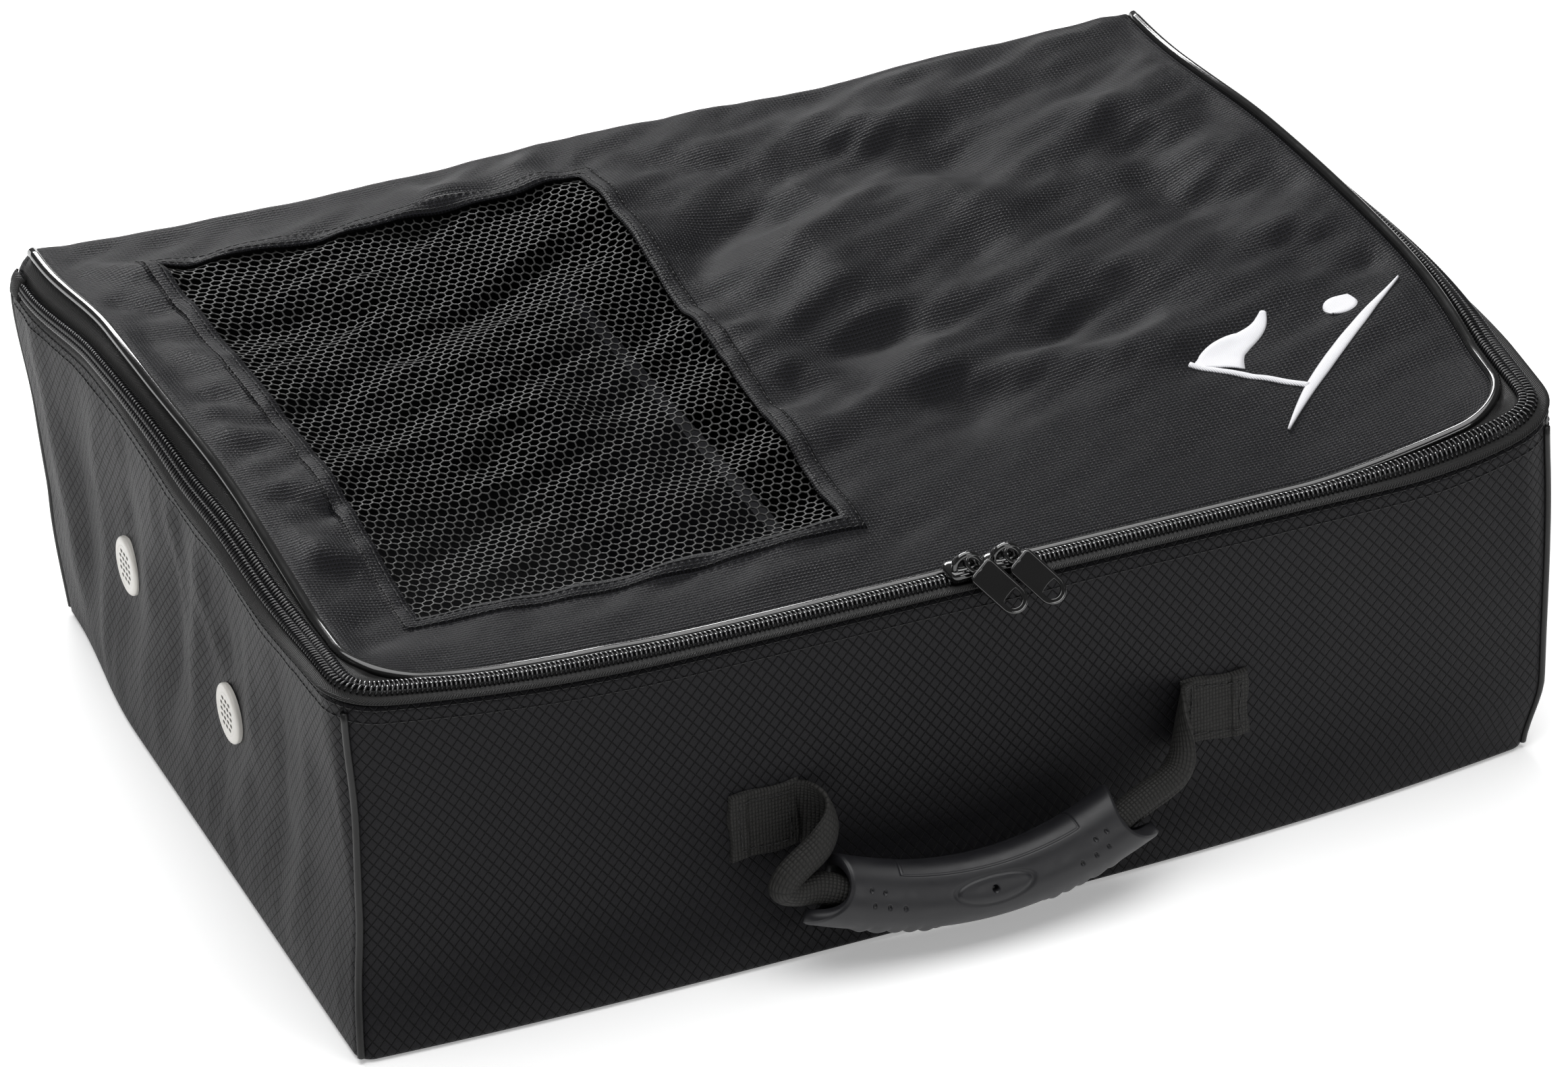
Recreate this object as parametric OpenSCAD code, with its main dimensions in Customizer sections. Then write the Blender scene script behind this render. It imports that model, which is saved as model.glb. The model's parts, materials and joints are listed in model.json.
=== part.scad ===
// Golf shoe bag: a zipped fabric trunk with a mesh window, side vents and a rubber carry grip.
// X runs left to right, Y front to back and Z up. The origin is the centre of the base's underside.

/* [Bag] */
// Outside length, left to right
bag_l = 500; // [460:1:540]
// Outside depth, front to back
bag_w = 370; // [340:1:400]
// Height of the walls at the sides, the back and the corners
wall_h = 148; // [130:1:170]
// How far the top edge of the front wall sags in the middle
front_sag = 14.5; // [6:0.5:22]
// Radius of the upright corners
corner_r = 24; // [16:1:30]
// Thickness of a fabric wall
wall_t = 2.4; // [1.6:0.1:3]
// Thickness of the stiffening boards
board_t = 1.5; // [1:0.1:2]

/* [Lid] */
// Height of the lid along its sides at the back
lid_side_h = 171; // [160:1:185]
// Height of the lid's sides at the front corners
lid_corner_h = 149; // [140:1:155]
// Thickness of the lid fabric
lid_t = 1.5; // [1:0.1:2]
// Diameter of the glossy piping
piping_d = 4.4; // [3:0.2:6]
// Width of the mesh window, left to right
window_l = 173; // [120:1:180]
// Length of the mesh window, front to back
window_w = 264; // [200:1:270]

/* [Zip] */
// Width of the closed coil chain
chain_w = 8; // [6:0.5:10]
// Height of the coils above the tape
coil_h = 2.2; // [1.6:0.1:3]
// How far each slider runs from the middle of the front
slider_travel = 105; // [60:1:105]
// Length of a pull tab below its ring
pull_l = 22; // [16:1:26]

/* [Handle] */
// Width of the handle webbing
webbing_w = 28; // [20:1:32]
// Height of the middle of the webbing patches
patch_z = 58; // [50:1:70]
// Largest diameter of the rubber grip
grip_d = 26; // [22:1:28]

/* [Inside] */
// Height of the divider between shoe pocket and main compartment
divider_h = 110; // [80:1:118]
// Diameter of a vent's outside flange
vent_d = 24.4; // [20:0.2:30]

/* [Hidden] */
$fn = 48;

fabric = "#26262a";
lid_fabric = "#2c2c31";
board = "#8a8a86";
trim = "#151517";
gloss = "#0c0c0d";
nickel = "#d8d6cf";
rubber = "#3c3c40";
webbing = "#2b2923";

half_l = bag_l / 2;
half_w = bag_w / 2;
gap = 0.1;
layer_t = 0.8;

// ---- small helpers --------------------------------------------------------------------------

function clamp01(v) = max(0, min(1, v));
function unit(v) = v / norm(v);
function mix(a, b, t) = a + (b - a) * t;

// Closed solid through a row of rings, each ring counter-clockwise seen against the sweep
function quads(rings, per, loop = false) = [
    for (i = [0:rings - (loop ? 1 : 2)], j = [0:per - 1])
        let (n = (i + 1) % rings, k = (j + 1) % per)
            each [[i * per + j, n * per + j, n * per + k], [i * per + j, n * per + k, i * per + k]]
];

module sweep(rings) {
    per = len(rings[0]);
    count = len(rings);
    first = [for (j = [0:per - 1]) j];
    last = [for (j = [per - 1:-1:0]) (count - 1) * per + j];
    polyhedron(points = [for (r = rings) each r], faces = concat([first, last], quads(count, per)));
}

// A tube closed on itself: the rings run out along the outside and back along the inside
module hollow_sweep(outside, inside) {
    back = [for (i = [len(inside) - 1:-1:0]) inside[i]];
    rings = concat(outside, back);
    polyhedron(points = [for (r = rings) each r], faces = quads(len(rings), len(rings[0]), true));
}

// Rounded rectangle with true arcs
module rounded(l, w, r) {
    square([l - 2 * r, w], center = true);
    square([l, w - 2 * r], center = true);
    for (sx = [-1, 1], sy = [-1, 1])
        translate([sx * (l / 2 - r), sy * (w / 2 - r)]) circle(r);
}

// The bag's outline in plan, brought in by a distance
module outline(inset = 0) {
    rounded(bag_l - 2 * inset, bag_w - 2 * inset, corner_r - inset);
}

// ---- heights --------------------------------------------------------------------------------

rise_left = 140;
rise_right = 70;
front_mid_h = wall_h - front_sag;

// Top edge of the walls along the zip, level in the middle of the front and curving up to the corners
function wall_top(x) =
    let (run = x < 0 ? rise_left : rise_right)
        front_mid_h + front_sag * pow(max(0, 1 - (half_l - abs(x)) / run), 2);

side_inset = 14.5;
front_inset = 15;
edge_r = 24;
lid_rise_run = 85;
lid_back_y = half_w - 25;

// Height of the lid on its two sides and along its middle line, by the distance from the front
function lid_side(d) = lid_side_h - (lid_side_h - lid_corner_h) * pow(clamp01((300 - d) / 240), 1.6);
function lid_mid(d) = front_mid_h + 35 * pow(clamp01((d - front_inset) / 315), 0.85);
function lid_z(x, y) =
    let (
        d = y + half_w,
        w = pow(clamp01(1 - (half_l - side_inset - abs(x)) / lid_rise_run), 1.5)
    ) mix(lid_mid(d), lid_side(d), w);

// ---- the zip band between wall and lid ------------------------------------------------------

band_end_y = 150;
edge_x = half_l - side_inset;
edge_y = half_w - front_inset;
edge_c = [edge_x - edge_r, edge_y - edge_r];
wall_c = [half_l - corner_r, half_w - corner_r];

// Where a ray from the lid corner's centre meets the wall's outline, in the first quadrant
function wall_hit(u) =
    let (
        to_side = edge_c + u * (half_l - edge_c[0]) / max(u[0], 0.001),
        to_front = edge_c + u * (half_w - edge_c[1]) / max(u[1], 0.001),
        w = edge_c - wall_c,
        b = w * u
    )
    to_side[1] <= wall_c[1] ? to_side
        : to_front[0] <= wall_c[0] ? to_front
        : edge_c + u * (-b + sqrt(b * b - w * w + corner_r * corner_r));

side_steps = 14;
turn_steps = 8;
front_steps = 24;
band_lift = 2.8;

// Plan points of the wall edge and the lid edge, from the left zip end round the front to the right
function band_side(s, t) =
    let (y = mix(band_end_y, -edge_c[1], t)) [[s * half_l, y], [s * edge_x, y]];
function band_turn(s, a) =
    let (u = [cos(a), sin(a)], w = wall_hit(u), e = edge_c + edge_r * u)
        [[s * w[0], -w[1]], [s * e[0], -e[1]]];
band_plan = concat(
    [for (k = [0:side_steps]) band_side(-1, k / side_steps)],
    [for (k = [1:turn_steps]) band_turn(-1, 90 * k / turn_steps)],
    [for (k = [1:front_steps - 1])
        let (x = mix(-edge_c[0], edge_c[0], k / front_steps)) [[x, -half_w], [x, -edge_y]]],
    [for (k = [turn_steps:-1:1]) band_turn(1, 90 * k / turn_steps)],
    [for (k = [side_steps:-1:0]) band_side(1, k / side_steps)]
);
band_ends = [
    for (p = band_plan) [
        [p[0][0], p[0][1], wall_top(p[0][0]) + band_lift],
        [p[1][0], p[1][1], lid_z(p[1][0], p[1][1])]
    ]
];

// Each station is [wall point, lid point, direction across the band, direction out of it]
function station(ends, i) =
    let (
        last = len(ends) - 1,
        a = ends[max(0, i - 1)],
        b = ends[min(last, i + 1)],
        along = unit((b[0] + b[1]) - (a[0] + a[1])),
        raw = unit(ends[i][1] - ends[i][0]),
        out = unit(cross(along, raw)),
        across = cross(out, along)
    ) [ends[i][0], ends[i][1], across, out];
band = [for (i = [0:len(band_ends) - 1]) station(band_ends, i)];
function band_width(s) = norm(s[1] - s[0]);
function on_band(s, b, n) = s[0] + s[2] * b + s[3] * n;

// A flat strip of the band; a far edge given as a negative number is measured from the lid's edge
module band_strip(stations, b0, b1, n0, n1) {
    sweep([
        for (s = stations)
            let (far = b1 < 0 ? band_width(s) + b1 : b1)
                [on_band(s, b0, n0), on_band(s, far, n0), on_band(s, far, n1), on_band(s, b0, n1)]
    ]);
}

// Half a coil chain: a low rounded bar on the tape
module band_coil(b0, b1) {
    shoulder = 0.8;
    foot = 0.3;
    sweep([
        for (s = band) [
            on_band(s, b0, foot), on_band(s, b1, foot), on_band(s, b1, coil_h - shoulder),
            on_band(s, b1 - shoulder, coil_h), on_band(s, b0 + shoulder, coil_h),
            on_band(s, b0, coil_h - shoulder)
        ]
    ]);
}

chain_start = 3.6;
part_line = chain_start + chain_w / 2;
part_gap = 0.3;

module zip_tape_lower() {
    color(trim) band_strip(band, 0, part_line - part_gap, -layer_t, 0);
}

module zip_coil_lower() {
    color(gloss) band_coil(chain_start, part_line - part_gap);
}

module zip_tape_upper() {
    color(trim) band_strip(band, part_line + part_gap, -(piping_d / 2 + gap), -layer_t, 0);
}

module zip_coil_upper() {
    color(gloss) band_coil(part_line + part_gap, chain_start + chain_w);
}

module lid_piping() {
    sides = 8;
    color(gloss) sweep([
        for (s = band) [
            for (j = [0:sides - 1])
                let (a = 360 * j / sides) s[1] + piping_d / 2 * (s[2] * cos(a) + s[3] * sin(a))
        ]
    ]);
}

// Folded fabric tab over each end of the chain
module zip_end_tabs() {
    tab_l = 8;
    near = band_end_y + gap;
    far = near + tab_l;
    for (s = [-1, 1]) {
        ys = s < 0 ? [far, near] : [near, far];
        ends = [
            for (y = ys) [
                [s * half_l, y, wall_top(half_l) + band_lift],
                [s * edge_x, y, lid_z(edge_x, band_end_y)]
            ]
        ];
        color(trim)
            band_strip([station(ends, 0), station(ends, 1)], 0, part_line - part_gap, -layer_t, coil_h);
    }
}

// ---- shell ----------------------------------------------------------------------------------

base_t = wall_t;
board_z = base_t + gap;
floor_z = board_z + board_t + gap;
layer_in = wall_t + gap;
lining_in = layer_in + board_t + gap;
inner_in = lining_in + layer_t;
binding_h = 8;

module base_panel() {
    color(fabric) linear_extrude(base_t) outline();
}

module base_board() {
    color(board) translate([0, 0, board_z]) linear_extrude(board_t) outline(lining_in);
}

module floor_lining() {
    color(trim) translate([0, 0, floor_z]) linear_extrude(layer_t) outline(lining_in);
}

// Bound seam allowance between base and walls
module floor_binding() {
    color(trim) translate([0, 0, board_z]) linear_extrude(binding_h) difference() {
        outline(layer_in);
        outline(layer_in + 1.2);
    }
}

module wall_ring(h) {
    translate([0, 0, base_t]) linear_extrude(h - base_t) difference() {
        outline();
        outline(wall_t);
    }
}

// Mitred sector of the plan that holds one wall; side is 0 front, 1 right, 2 back, 3 left
module sector(side) {
    deep = 60;
    long = side % 2 == 0 ? half_l : half_w;
    across = side % 2 == 0 ? half_w : half_l;
    rotate(side * 90) translate([0, -across])
        polygon([[-long - 1, -1], [long + 1, -1], [long - deep, deep], [deep - long, deep]]);
}

module front_wall() {
    step = 10;
    top = [for (x = [half_l:-step:-half_l]) [x, wall_top(x)]];
    color(fabric) intersection() {
        wall_ring(wall_h);
        linear_extrude(wall_h) sector(0);
        translate([0, 1 - half_w + 60, 0]) rotate([90, 0, 0]) linear_extrude(62)
            polygon(concat([[-half_l, 0], [half_l, 0]], top));
    }
}

module plain_wall(side) {
    intersection() {
        wall_ring(wall_h);
        linear_extrude(wall_h) sector(side);
    }
}

module right_wall() {
    color(fabric) plain_wall(1);
}

module back_wall() {
    color(fabric) plain_wall(2);
}

vent_y = [-56, 67];
vent_z = 74.5;
vent_hole_r = vent_d / 2 - 3;
barrel_r = vent_hole_r - 0.15;

module at_vents() {
    for (y = vent_y) translate([-half_l, y, vent_z]) rotate([0, 90, 0]) children();
}

module left_wall() {
    color(fabric) difference() {
        plain_wall(3);
        at_vents() translate([0, 0, -1]) cylinder(h = wall_t + 2, r = vent_hole_r);
    }
}

// Flange with rows of slots and a barrel through the wall
module vent_caps() {
    flange_t = 1.5;
    slot = [2.6, 1.2];
    pitch = [3.4, 3];
    color(nickel) at_vents() {
        difference() {
            translate([0, 0, -flange_t]) cylinder(h = flange_t, d = vent_d);
            for (i = [-2:2], j = [-1.5:1.5])
                translate([i * pitch[0], j * pitch[1], -flange_t / 2])
                    cube([slot[0], slot[1], flange_t + 1], center = true);
        }
        difference() {
            cylinder(h = wall_t + 1.2, r = barrel_r);
            translate([0, 0, -1]) cylinder(h = wall_t + 4, r = barrel_r - 1);
        }
    }
}

module vent_washers() {
    color(nickel) at_vents() translate([0, 0, wall_t + gap]) difference() {
        cylinder(h = 1, d = vent_d);
        translate([0, 0, -1]) cylinder(h = 3, r = vent_hole_r);
    }
}

flat_l = bag_l - 2 * corner_r;
board_foot = board_z + binding_h + 1;

// A flat layer on the inside of the front or back wall
module inside_layer(s, inset, t, z0, z1) {
    y = s * (half_w - inset - t / 2);
    translate([-flat_l / 2, y - t / 2, z0]) cube([flat_l, t, z1 - z0]);
}

module front_board() {
    color(board) inside_layer(-1, layer_in, board_t, board_foot, front_mid_h - 14);
}

module back_board() {
    color(board) inside_layer(1, layer_in, board_t, board_foot, wall_h - 12);
}

lining_foot = floor_z + layer_t + gap;

module front_lining() {
    color(trim) inside_layer(-1, lining_in, layer_t, lining_foot, front_mid_h - 6);
}

module back_lining() {
    color(trim) inside_layer(1, lining_in, layer_t, lining_foot, wall_h - 5);
}

// Welted seams up the four corners
module corner_welts() {
    welt_r = 1.6;
    reach = corner_r * (1 - sqrt(0.5)) - 0.6;
    color(trim) difference() {
        for (sx = [-1, 1], sy = [-1, 1])
            translate([sx * (half_l - reach), sy * (half_w - reach), base_t])
                cylinder(h = wall_h - base_t - 3, r = welt_r, $fn = 24);
        translate([0, 0, -1]) linear_extrude(wall_h + 2) outline();
    }
}

// ---- divider --------------------------------------------------------------------------------

divider_x = -28;
divider_t = 6;
tab_t = 1.4;

module divider_panel() {
    reach = half_w - inner_in - 2;
    color(lid_fabric) translate([divider_x - divider_t / 2, -reach, lining_foot])
        cube([divider_t, 2 * reach, divider_h - lining_foot]);
}

// Hook-and-loop flaps that hold the divider's ends to the front and back linings
module divider_tabs() {
    tab_l = 30;
    tab_h = 70;
    y = half_w - inner_in - gap;
    color(trim) for (s = [-1, 1])
        translate([divider_x + divider_t / 2 + gap, s > 0 ? y - tab_t : -y, 25])
            cube([tab_l, tab_t, tab_h]);
}

// ---- lid ------------------------------------------------------------------------------------

panel_x = edge_x - piping_d / 2 - 0.3;
panel_y = edge_y - piping_d / 2 - 0.3;
panel_r = edge_r - piping_d / 2 - 0.3;
hem_w = 8;
window_x0 = -edge_x + 39.5;
window_x1 = window_x0 + window_l;
window_y0 = -panel_y + 41.5;
window_y1 = window_y0 + window_w;

function spread(a, b, n) = [for (i = [0:n]) mix(a, b, i / n)];
full_x = panel_x - panel_r;
x_lines = concat(
    spread(-panel_x, -full_x, 3), [window_x0 - hem_w + 1], spread(window_x0, window_x1, 8),
    [window_x1 + hem_w], spread(0, full_x, 10), spread(full_x + panel_r / 3, panel_x, 2)
);
turn_y = -panel_y + panel_r;
y_lines = concat(
    [-panel_y, -164, -157, -148], [window_y0 - hem_w], spread(window_y0, window_y1, 12),
    [window_y1 + hem_w, 153, lid_back_y]
);
back_steps = 6;
x_count = len(x_lines);
y_count = len(y_lines) + back_steps;
back_foot_z = wall_h + 1.5;

// Half width of the panel in a row: rounded in plan at the front corners and at the back
function row_turn(y) =
    y < turn_y ? sqrt(max(0.01, 1 - pow((turn_y - y) / panel_r, 2)))
        : y > lid_back_y ? sqrt(max(0.01, 1 - pow((y - lid_back_y) / (half_w - lid_back_y), 2)))
        : 1;
function row_x(x, y) =
    abs(x) <= full_x ? x : sign(x) * (full_x + (abs(x) - full_x) * row_turn(y));

// Point on the lid's outside, and the direction out of it; the last rows roll down over the back
function lid_point(i, j) =
    let (
        k = j - len(y_lines) + 1,
        a = k > 0 ? 90 * k / back_steps : 0,
        y = k > 0 ? lid_back_y + (half_w - lid_back_y) * sin(a) : y_lines[j],
        x = row_x(x_lines[i], y),
        top = lid_z(x, min(y, lid_back_y))
    ) [[x, y, mix(back_foot_z, top, cos(a))], [0, sin(a), cos(a)]];

// Sheet over the grid cells that a rule picks, between two depths below the outside
module lid_sheet(pick, t0, t1) {
    count = x_count * y_count;
    points = concat(
        [for (j = [0:y_count - 1], i = [0:x_count - 1]) let (p = lid_point(i, j)) p[0] - t0 * p[1]],
        [for (j = [0:y_count - 1], i = [0:x_count - 1]) let (p = lid_point(i, j)) p[0] - t1 * p[1]]
    );
    function id(i, j, low) = j * x_count + i + low * count;
    function has(i, j) = i >= 0 && j >= 0 && i < x_count - 1 && j < y_count - 1 && pick(i, j);
    faces = [
        for (j = [0:y_count - 2], i = [0:x_count - 2]) if (has(i, j)) each concat(
            [
                [id(i, j, 0), id(i, j + 1, 0), id(i + 1, j + 1, 0)],
                [id(i, j, 0), id(i + 1, j + 1, 0), id(i + 1, j, 0)],
                [id(i, j, 1), id(i + 1, j + 1, 1), id(i, j + 1, 1)],
                [id(i, j, 1), id(i + 1, j, 1), id(i + 1, j + 1, 1)]
            ],
            has(i, j - 1) ? [] : [[id(i, j, 0), id(i + 1, j, 0), id(i + 1, j, 1), id(i, j, 1)]],
            has(i, j + 1) ? [] : [[id(i + 1, j + 1, 0), id(i, j + 1, 0), id(i, j + 1, 1), id(i + 1, j + 1, 1)]],
            has(i - 1, j) ? [] : [[id(i, j + 1, 0), id(i, j, 0), id(i, j, 1), id(i, j + 1, 1)]],
            has(i + 1, j) ? [] : [[id(i + 1, j, 0), id(i + 1, j + 1, 0), id(i + 1, j + 1, 1), id(i + 1, j, 1)]]
        )
    ];
    polyhedron(points = points, faces = faces);
}

function in_window(i, j) =
    x_lines[i] > window_x0 - 0.5 && x_lines[i + 1] < window_x1 + 0.5
        && j + 1 < len(y_lines) && y_lines[j] > window_y0 - 0.5 && y_lines[j + 1] < window_y1 + 0.5;
function in_hem(i, j) =
    !in_window(i, j) && x_lines[i] > window_x0 - hem_w && x_lines[i + 1] < window_x1 + hem_w + 0.5
        && j + 1 < len(y_lines) && y_lines[j] > window_y0 - hem_w - 0.5
        && y_lines[j + 1] < window_y1 + hem_w + 0.5;

module lid_panel() {
    color(lid_fabric) lid_sheet(function (i, j) !in_window(i, j), 0, lid_t);
}

module mesh_window() {
    color("#1b1b1d") lid_sheet(function (i, j) in_window(i, j), 0.3, lid_t - 0.3);
}

module window_binding() {
    color(trim) lid_sheet(function (i, j) in_hem(i, j), -0.8, -0.05);
}

// Fabric between the lid's rear corners and the walls, behind the ends of the zip
module hinge_gussets() {
    steps = 8;
    lift = 1.4;
    straight = [[band_end_y + 8.6, 0], [lid_back_y + 0.5, 0]];
    turns = [for (k = [1:steps]) [0, 90 * k / steps]];
    for (s = [-1, 1]) {
        ends = [
            for (q = concat(straight, turns))
                let (
                    a = q[1],
                    wall = a == 0 ? [half_l - 0.5, q[0]]
                        : wall_c + (corner_r - 0.5) * [cos(a), sin(a)],
                    y = a == 0 ? q[0] : lid_back_y + (half_w - lid_back_y) * sin(a),
                    x = full_x + (panel_x + 0.6 - full_x) * cos(a) + 0.4,
                    z = mix(back_foot_z, lid_z(edge_x, min(y, lid_back_y)), cos(a))
                ) [[s * wall[0], wall[1], wall_h + lift], [s * x, y + 0.2, max(z, wall_h + lift + 1.2)]]
        ];
        order = s < 0 ? [for (i = [len(ends) - 1:-1:0]) ends[i]] : ends;
        kept = s < 0 ? [for (i = [2:len(order) - 1]) order[i]] : [for (i = [0:len(order) - 3]) order[i]];
        color(lid_fabric) sweep([
            for (i = [0:len(kept) - 1])
                let (t = station(kept, i), w = band_width(t))
                    [on_band(t, 0, -0.8), t[1] - 0.8 * t[3], t[1], on_band(t, 0, 0)]
        ]);
    }
}

// ---- emblem: a plain flag, pin, ball and ground line, embroidered on the lid ------------------

emblem_at = [194, -95];
emblem_gap = 0.4;
emblem_t = 1.3;

// Emblem coordinates run right along +Y and up along -X
function emblem_point(p, h) =
    let (x = emblem_at[0] - p[1], y = emblem_at[1] + p[0]) [x, y, lid_z(x, y) + h];

// Ribbon of stitching along a path of [right, up, half width]
module ribbon(path) {
    last = len(path) - 1;
    sweep([
        for (i = [0:last])
            let (
                a = path[max(0, i - 1)],
                b = path[min(last, i + 1)],
                run = unit([b[0] - a[0], b[1] - a[1]]),
                side = [-run[1], run[0]] * path[i][2],
                p = [path[i][0], path[i][1]]
            ) [
                emblem_point(p - side, emblem_gap), emblem_point(p + side, emblem_gap),
                emblem_point(p + side, emblem_t), emblem_point(p - side, emblem_t)
            ]
    ]);
}

module lid_emblem() {
    pin_u = -9;
    ball = [17, -17, 6];
    color("white") {
        ribbon([for (t = [0:0.25:1]) [pin_u, mix(-21, 34, t), 1.7]]);
        ribbon([for (t = [0:0.125:1]) [mix(pin_u + 2, 31, t), 22 + 2.5 * sin(360 * t), 10.5]]);
        ribbon([for (t = [0:0.1:1]) [mix(-40, 40, t), -29.5 + 5 * sin(180 * t), 0.6 + 1.8 * sin(180 * t)]]);
        ribbon([for (a = [-85:17:85]) [ball[0] + ball[2] * sin(a), ball[1] + 5, ball[2] * cos(a)]]);
    }
}

// ---- sliders and pulls ----------------------------------------------------------------------

slider_x = [5, 21];
slide_z = front_mid_h + band_lift;
bar_y = -half_w + 4;
bar_z = slide_z + 9;
bar_r = 1.1;

// The half of a slider over the wall's side of the chain, with the bridge for the pull
module slider(x) {
    body_l = 14;
    roof = [slide_z + coil_h + 0.4, slide_z + coil_h + 1.8];
    inner_y = -half_w + part_line - 0.2;
    outer_y = -half_w + 1.8;
    post_x = 5.5;
    color(gloss) translate([x, 0, 0]) {
        translate([-body_l / 2, outer_y, roof[0]]) cube([body_l, inner_y - outer_y, roof[1] - roof[0]]);
        translate([-body_l / 2, outer_y - 0.4, slide_z + 0.4]) cube([body_l, 1.4, roof[1] - slide_z - 0.4]);
        for (s = [-1, 1])
            translate([s * post_x - 0.8, bar_y - 1.2, roof[0]]) cube([1.6, 2.4, bar_z - roof[0]]);
        translate([-post_x - 0.8, bar_y, bar_z]) rotate([0, 90, 0])
            cylinder(h = 2 * post_x + 1.6, r = bar_r, $fn = 24);
    }
}

module slider_left() {
    slider(slider_x[0]);
}

module slider_right() {
    slider(slider_x[1]);
}

// Tab hanging from a ring on the slider's bar, swung a little to the right
module pull(x) {
    lean = 38;
    swing = 35;
    tab_w = 11;
    tab_t2 = 1.6;
    neck = 6.5;
    color(gloss) translate([x, bar_y, bar_z]) rotate([-lean, 0, 0]) difference() {
        union() {
            translate([-1, 0, 0]) rotate([0, 90, 0]) cylinder(h = 2, r = 3, $fn = 32);
            rotate([0, -swing, 0]) {
                translate([-1.8, -tab_t2 / 2, -neck - 1]) cube([3.6, tab_t2, neck - 1]);
                difference() {
                    union() {
                        translate([-tab_w / 2, -tab_t2 / 2, -neck - pull_l + tab_w / 2])
                            cube([tab_w, tab_t2, pull_l - tab_w / 2]);
                        translate([0, tab_t2 / 2, -neck - pull_l + tab_w / 2]) rotate([90, 0, 0])
                            cylinder(h = tab_t2, d = tab_w, $fn = 32);
                    }
                    translate([0, 2, -neck - pull_l + tab_w / 2]) rotate([90, 0, 0])
                        cylinder(h = 4, d = tab_w - 3, $fn = 32);
                }
            }
        }
        translate([-3, 0, 0]) rotate([0, 90, 0]) cylinder(h = 6, r = bar_r + 0.4, $fn = 32);
    }
}

module pull_left() {
    pull(slider_x[0]);
}

module pull_right() {
    pull(slider_x[1]);
}

// ---- handle ---------------------------------------------------------------------------------

patch_x = [-98.5, 91];
patch_w = 28.5;
patch_t = 2.2;
strap_root_y = -half_w - 3.8;

module handle_patch(x) {
    color(webbing) translate([x, -half_w - patch_t, patch_z - webbing_w / 2])
        cube([patch_w, patch_t, webbing_w]);
}

module handle_patch_left() {
    handle_patch(patch_x[0]);
}

module handle_patch_right() {
    handle_patch(patch_x[1]);
}

// Middle line of the webbing from patch to patch, through the grip: [x, y, z, radius]
grip_x = -5;
grip_half = 67;
grip_sag = 15;
grip_end = [-207, 35.5];
lean_dir = [0.56, 0.83];
function grip_line(x) =
    let (drop = grip_sag * (1 - pow((x - grip_x) / grip_half, 2)))
        [x, grip_end[0] - lean_dir[0] * drop, grip_end[1] - lean_dir[1] * drop];
left_route = [
    [-67, strap_root_y, 57, 2], [-63, -193, 56.5, 3], [-64, -197.5, 55.5, 3.8], [-72, -200, 53.5, 4.2],
    [-81, -203.5, 48, 5], [-86, -206, 42, 5.6], [-84, -206.5, 38.5, 5.8]
];
right_route = [
    [73, -204.8, 39, 5.8], [82, -202.5, 43, 5.8], [87, -199.5, 47.5, 5.2], [88.5, -196, 51.5, 4.2],
    [88.5, -192.5, 54.5, 3], [88, strap_root_y, 57, 2]
];
strap_line = concat(
    left_route,
    [for (x = [grip_x - grip_half + 2:13:grip_x + grip_half]) concat(grip_line(x), [5.8])],
    right_route
);

// Round rings of points square to a line of [x, y, z, radius]
function line_at(line, i) = [line[i][0], line[i][1], line[i][2]];
function line_run(line, i) =
    unit(line_at(line, min(len(line) - 1, i + 1)) - line_at(line, max(0, i - 1)));
function ring_at(line, i, sides, r, up = [0, 0.83, -0.56]) =
    let (t = line_run(line, i), n = unit(cross(t, up)), m = cross(t, n))
        [for (j = [0:sides - 1]) let (a = 360 * j / sides) line_at(line, i) + r * (n * cos(a) + m * sin(a))];

module handle_strap() {
    color(webbing) sweep([for (i = [0:len(strap_line) - 1]) ring_at(strap_line, i, 10, strap_line[i][3])]);
}

// Rubber tube, bowed away from the bag and flared a little at both ends
module handle_grip() {
    steps = 18;
    sides = 16;
    line = [for (k = [0:steps]) grip_line(grip_x + grip_half * (2 * k / steps - 1))];
    function swell(k) = 0.94 + 0.06 * pow(2 * k / steps - 1, 2);
    color(rubber) hollow_sweep(
        [for (k = [0:steps]) ring_at(line, k, sides, grip_d / 2 * swell(k))],
        [for (k = [0:steps]) ring_at(line, k, sides, 7.4)]
    );
}

base_panel();
base_board();
floor_lining();
floor_binding();
front_wall();
back_wall();
left_wall();
right_wall();
front_board();
back_board();
front_lining();
back_lining();
corner_welts();
zip_tape_lower();
zip_coil_lower();
zip_end_tabs();
vent_caps();
vent_washers();
handle_patch_left();
handle_patch_right();
divider_panel();
divider_tabs();
lid_panel();
mesh_window();
window_binding();
lid_piping();
zip_tape_upper();
zip_coil_upper();
lid_emblem();
hinge_gussets();
slider_left();
slider_right();
pull_left();
pull_right();
handle_strap();
handle_grip();
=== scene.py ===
"""Golf shoe bag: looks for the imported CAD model. Metres, +X right, +Y back, +Z up, origin under the base."""

import json
import math

import bmesh
import bpy
import numpy as np
from mathutils import Matrix, Vector, noise


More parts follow.
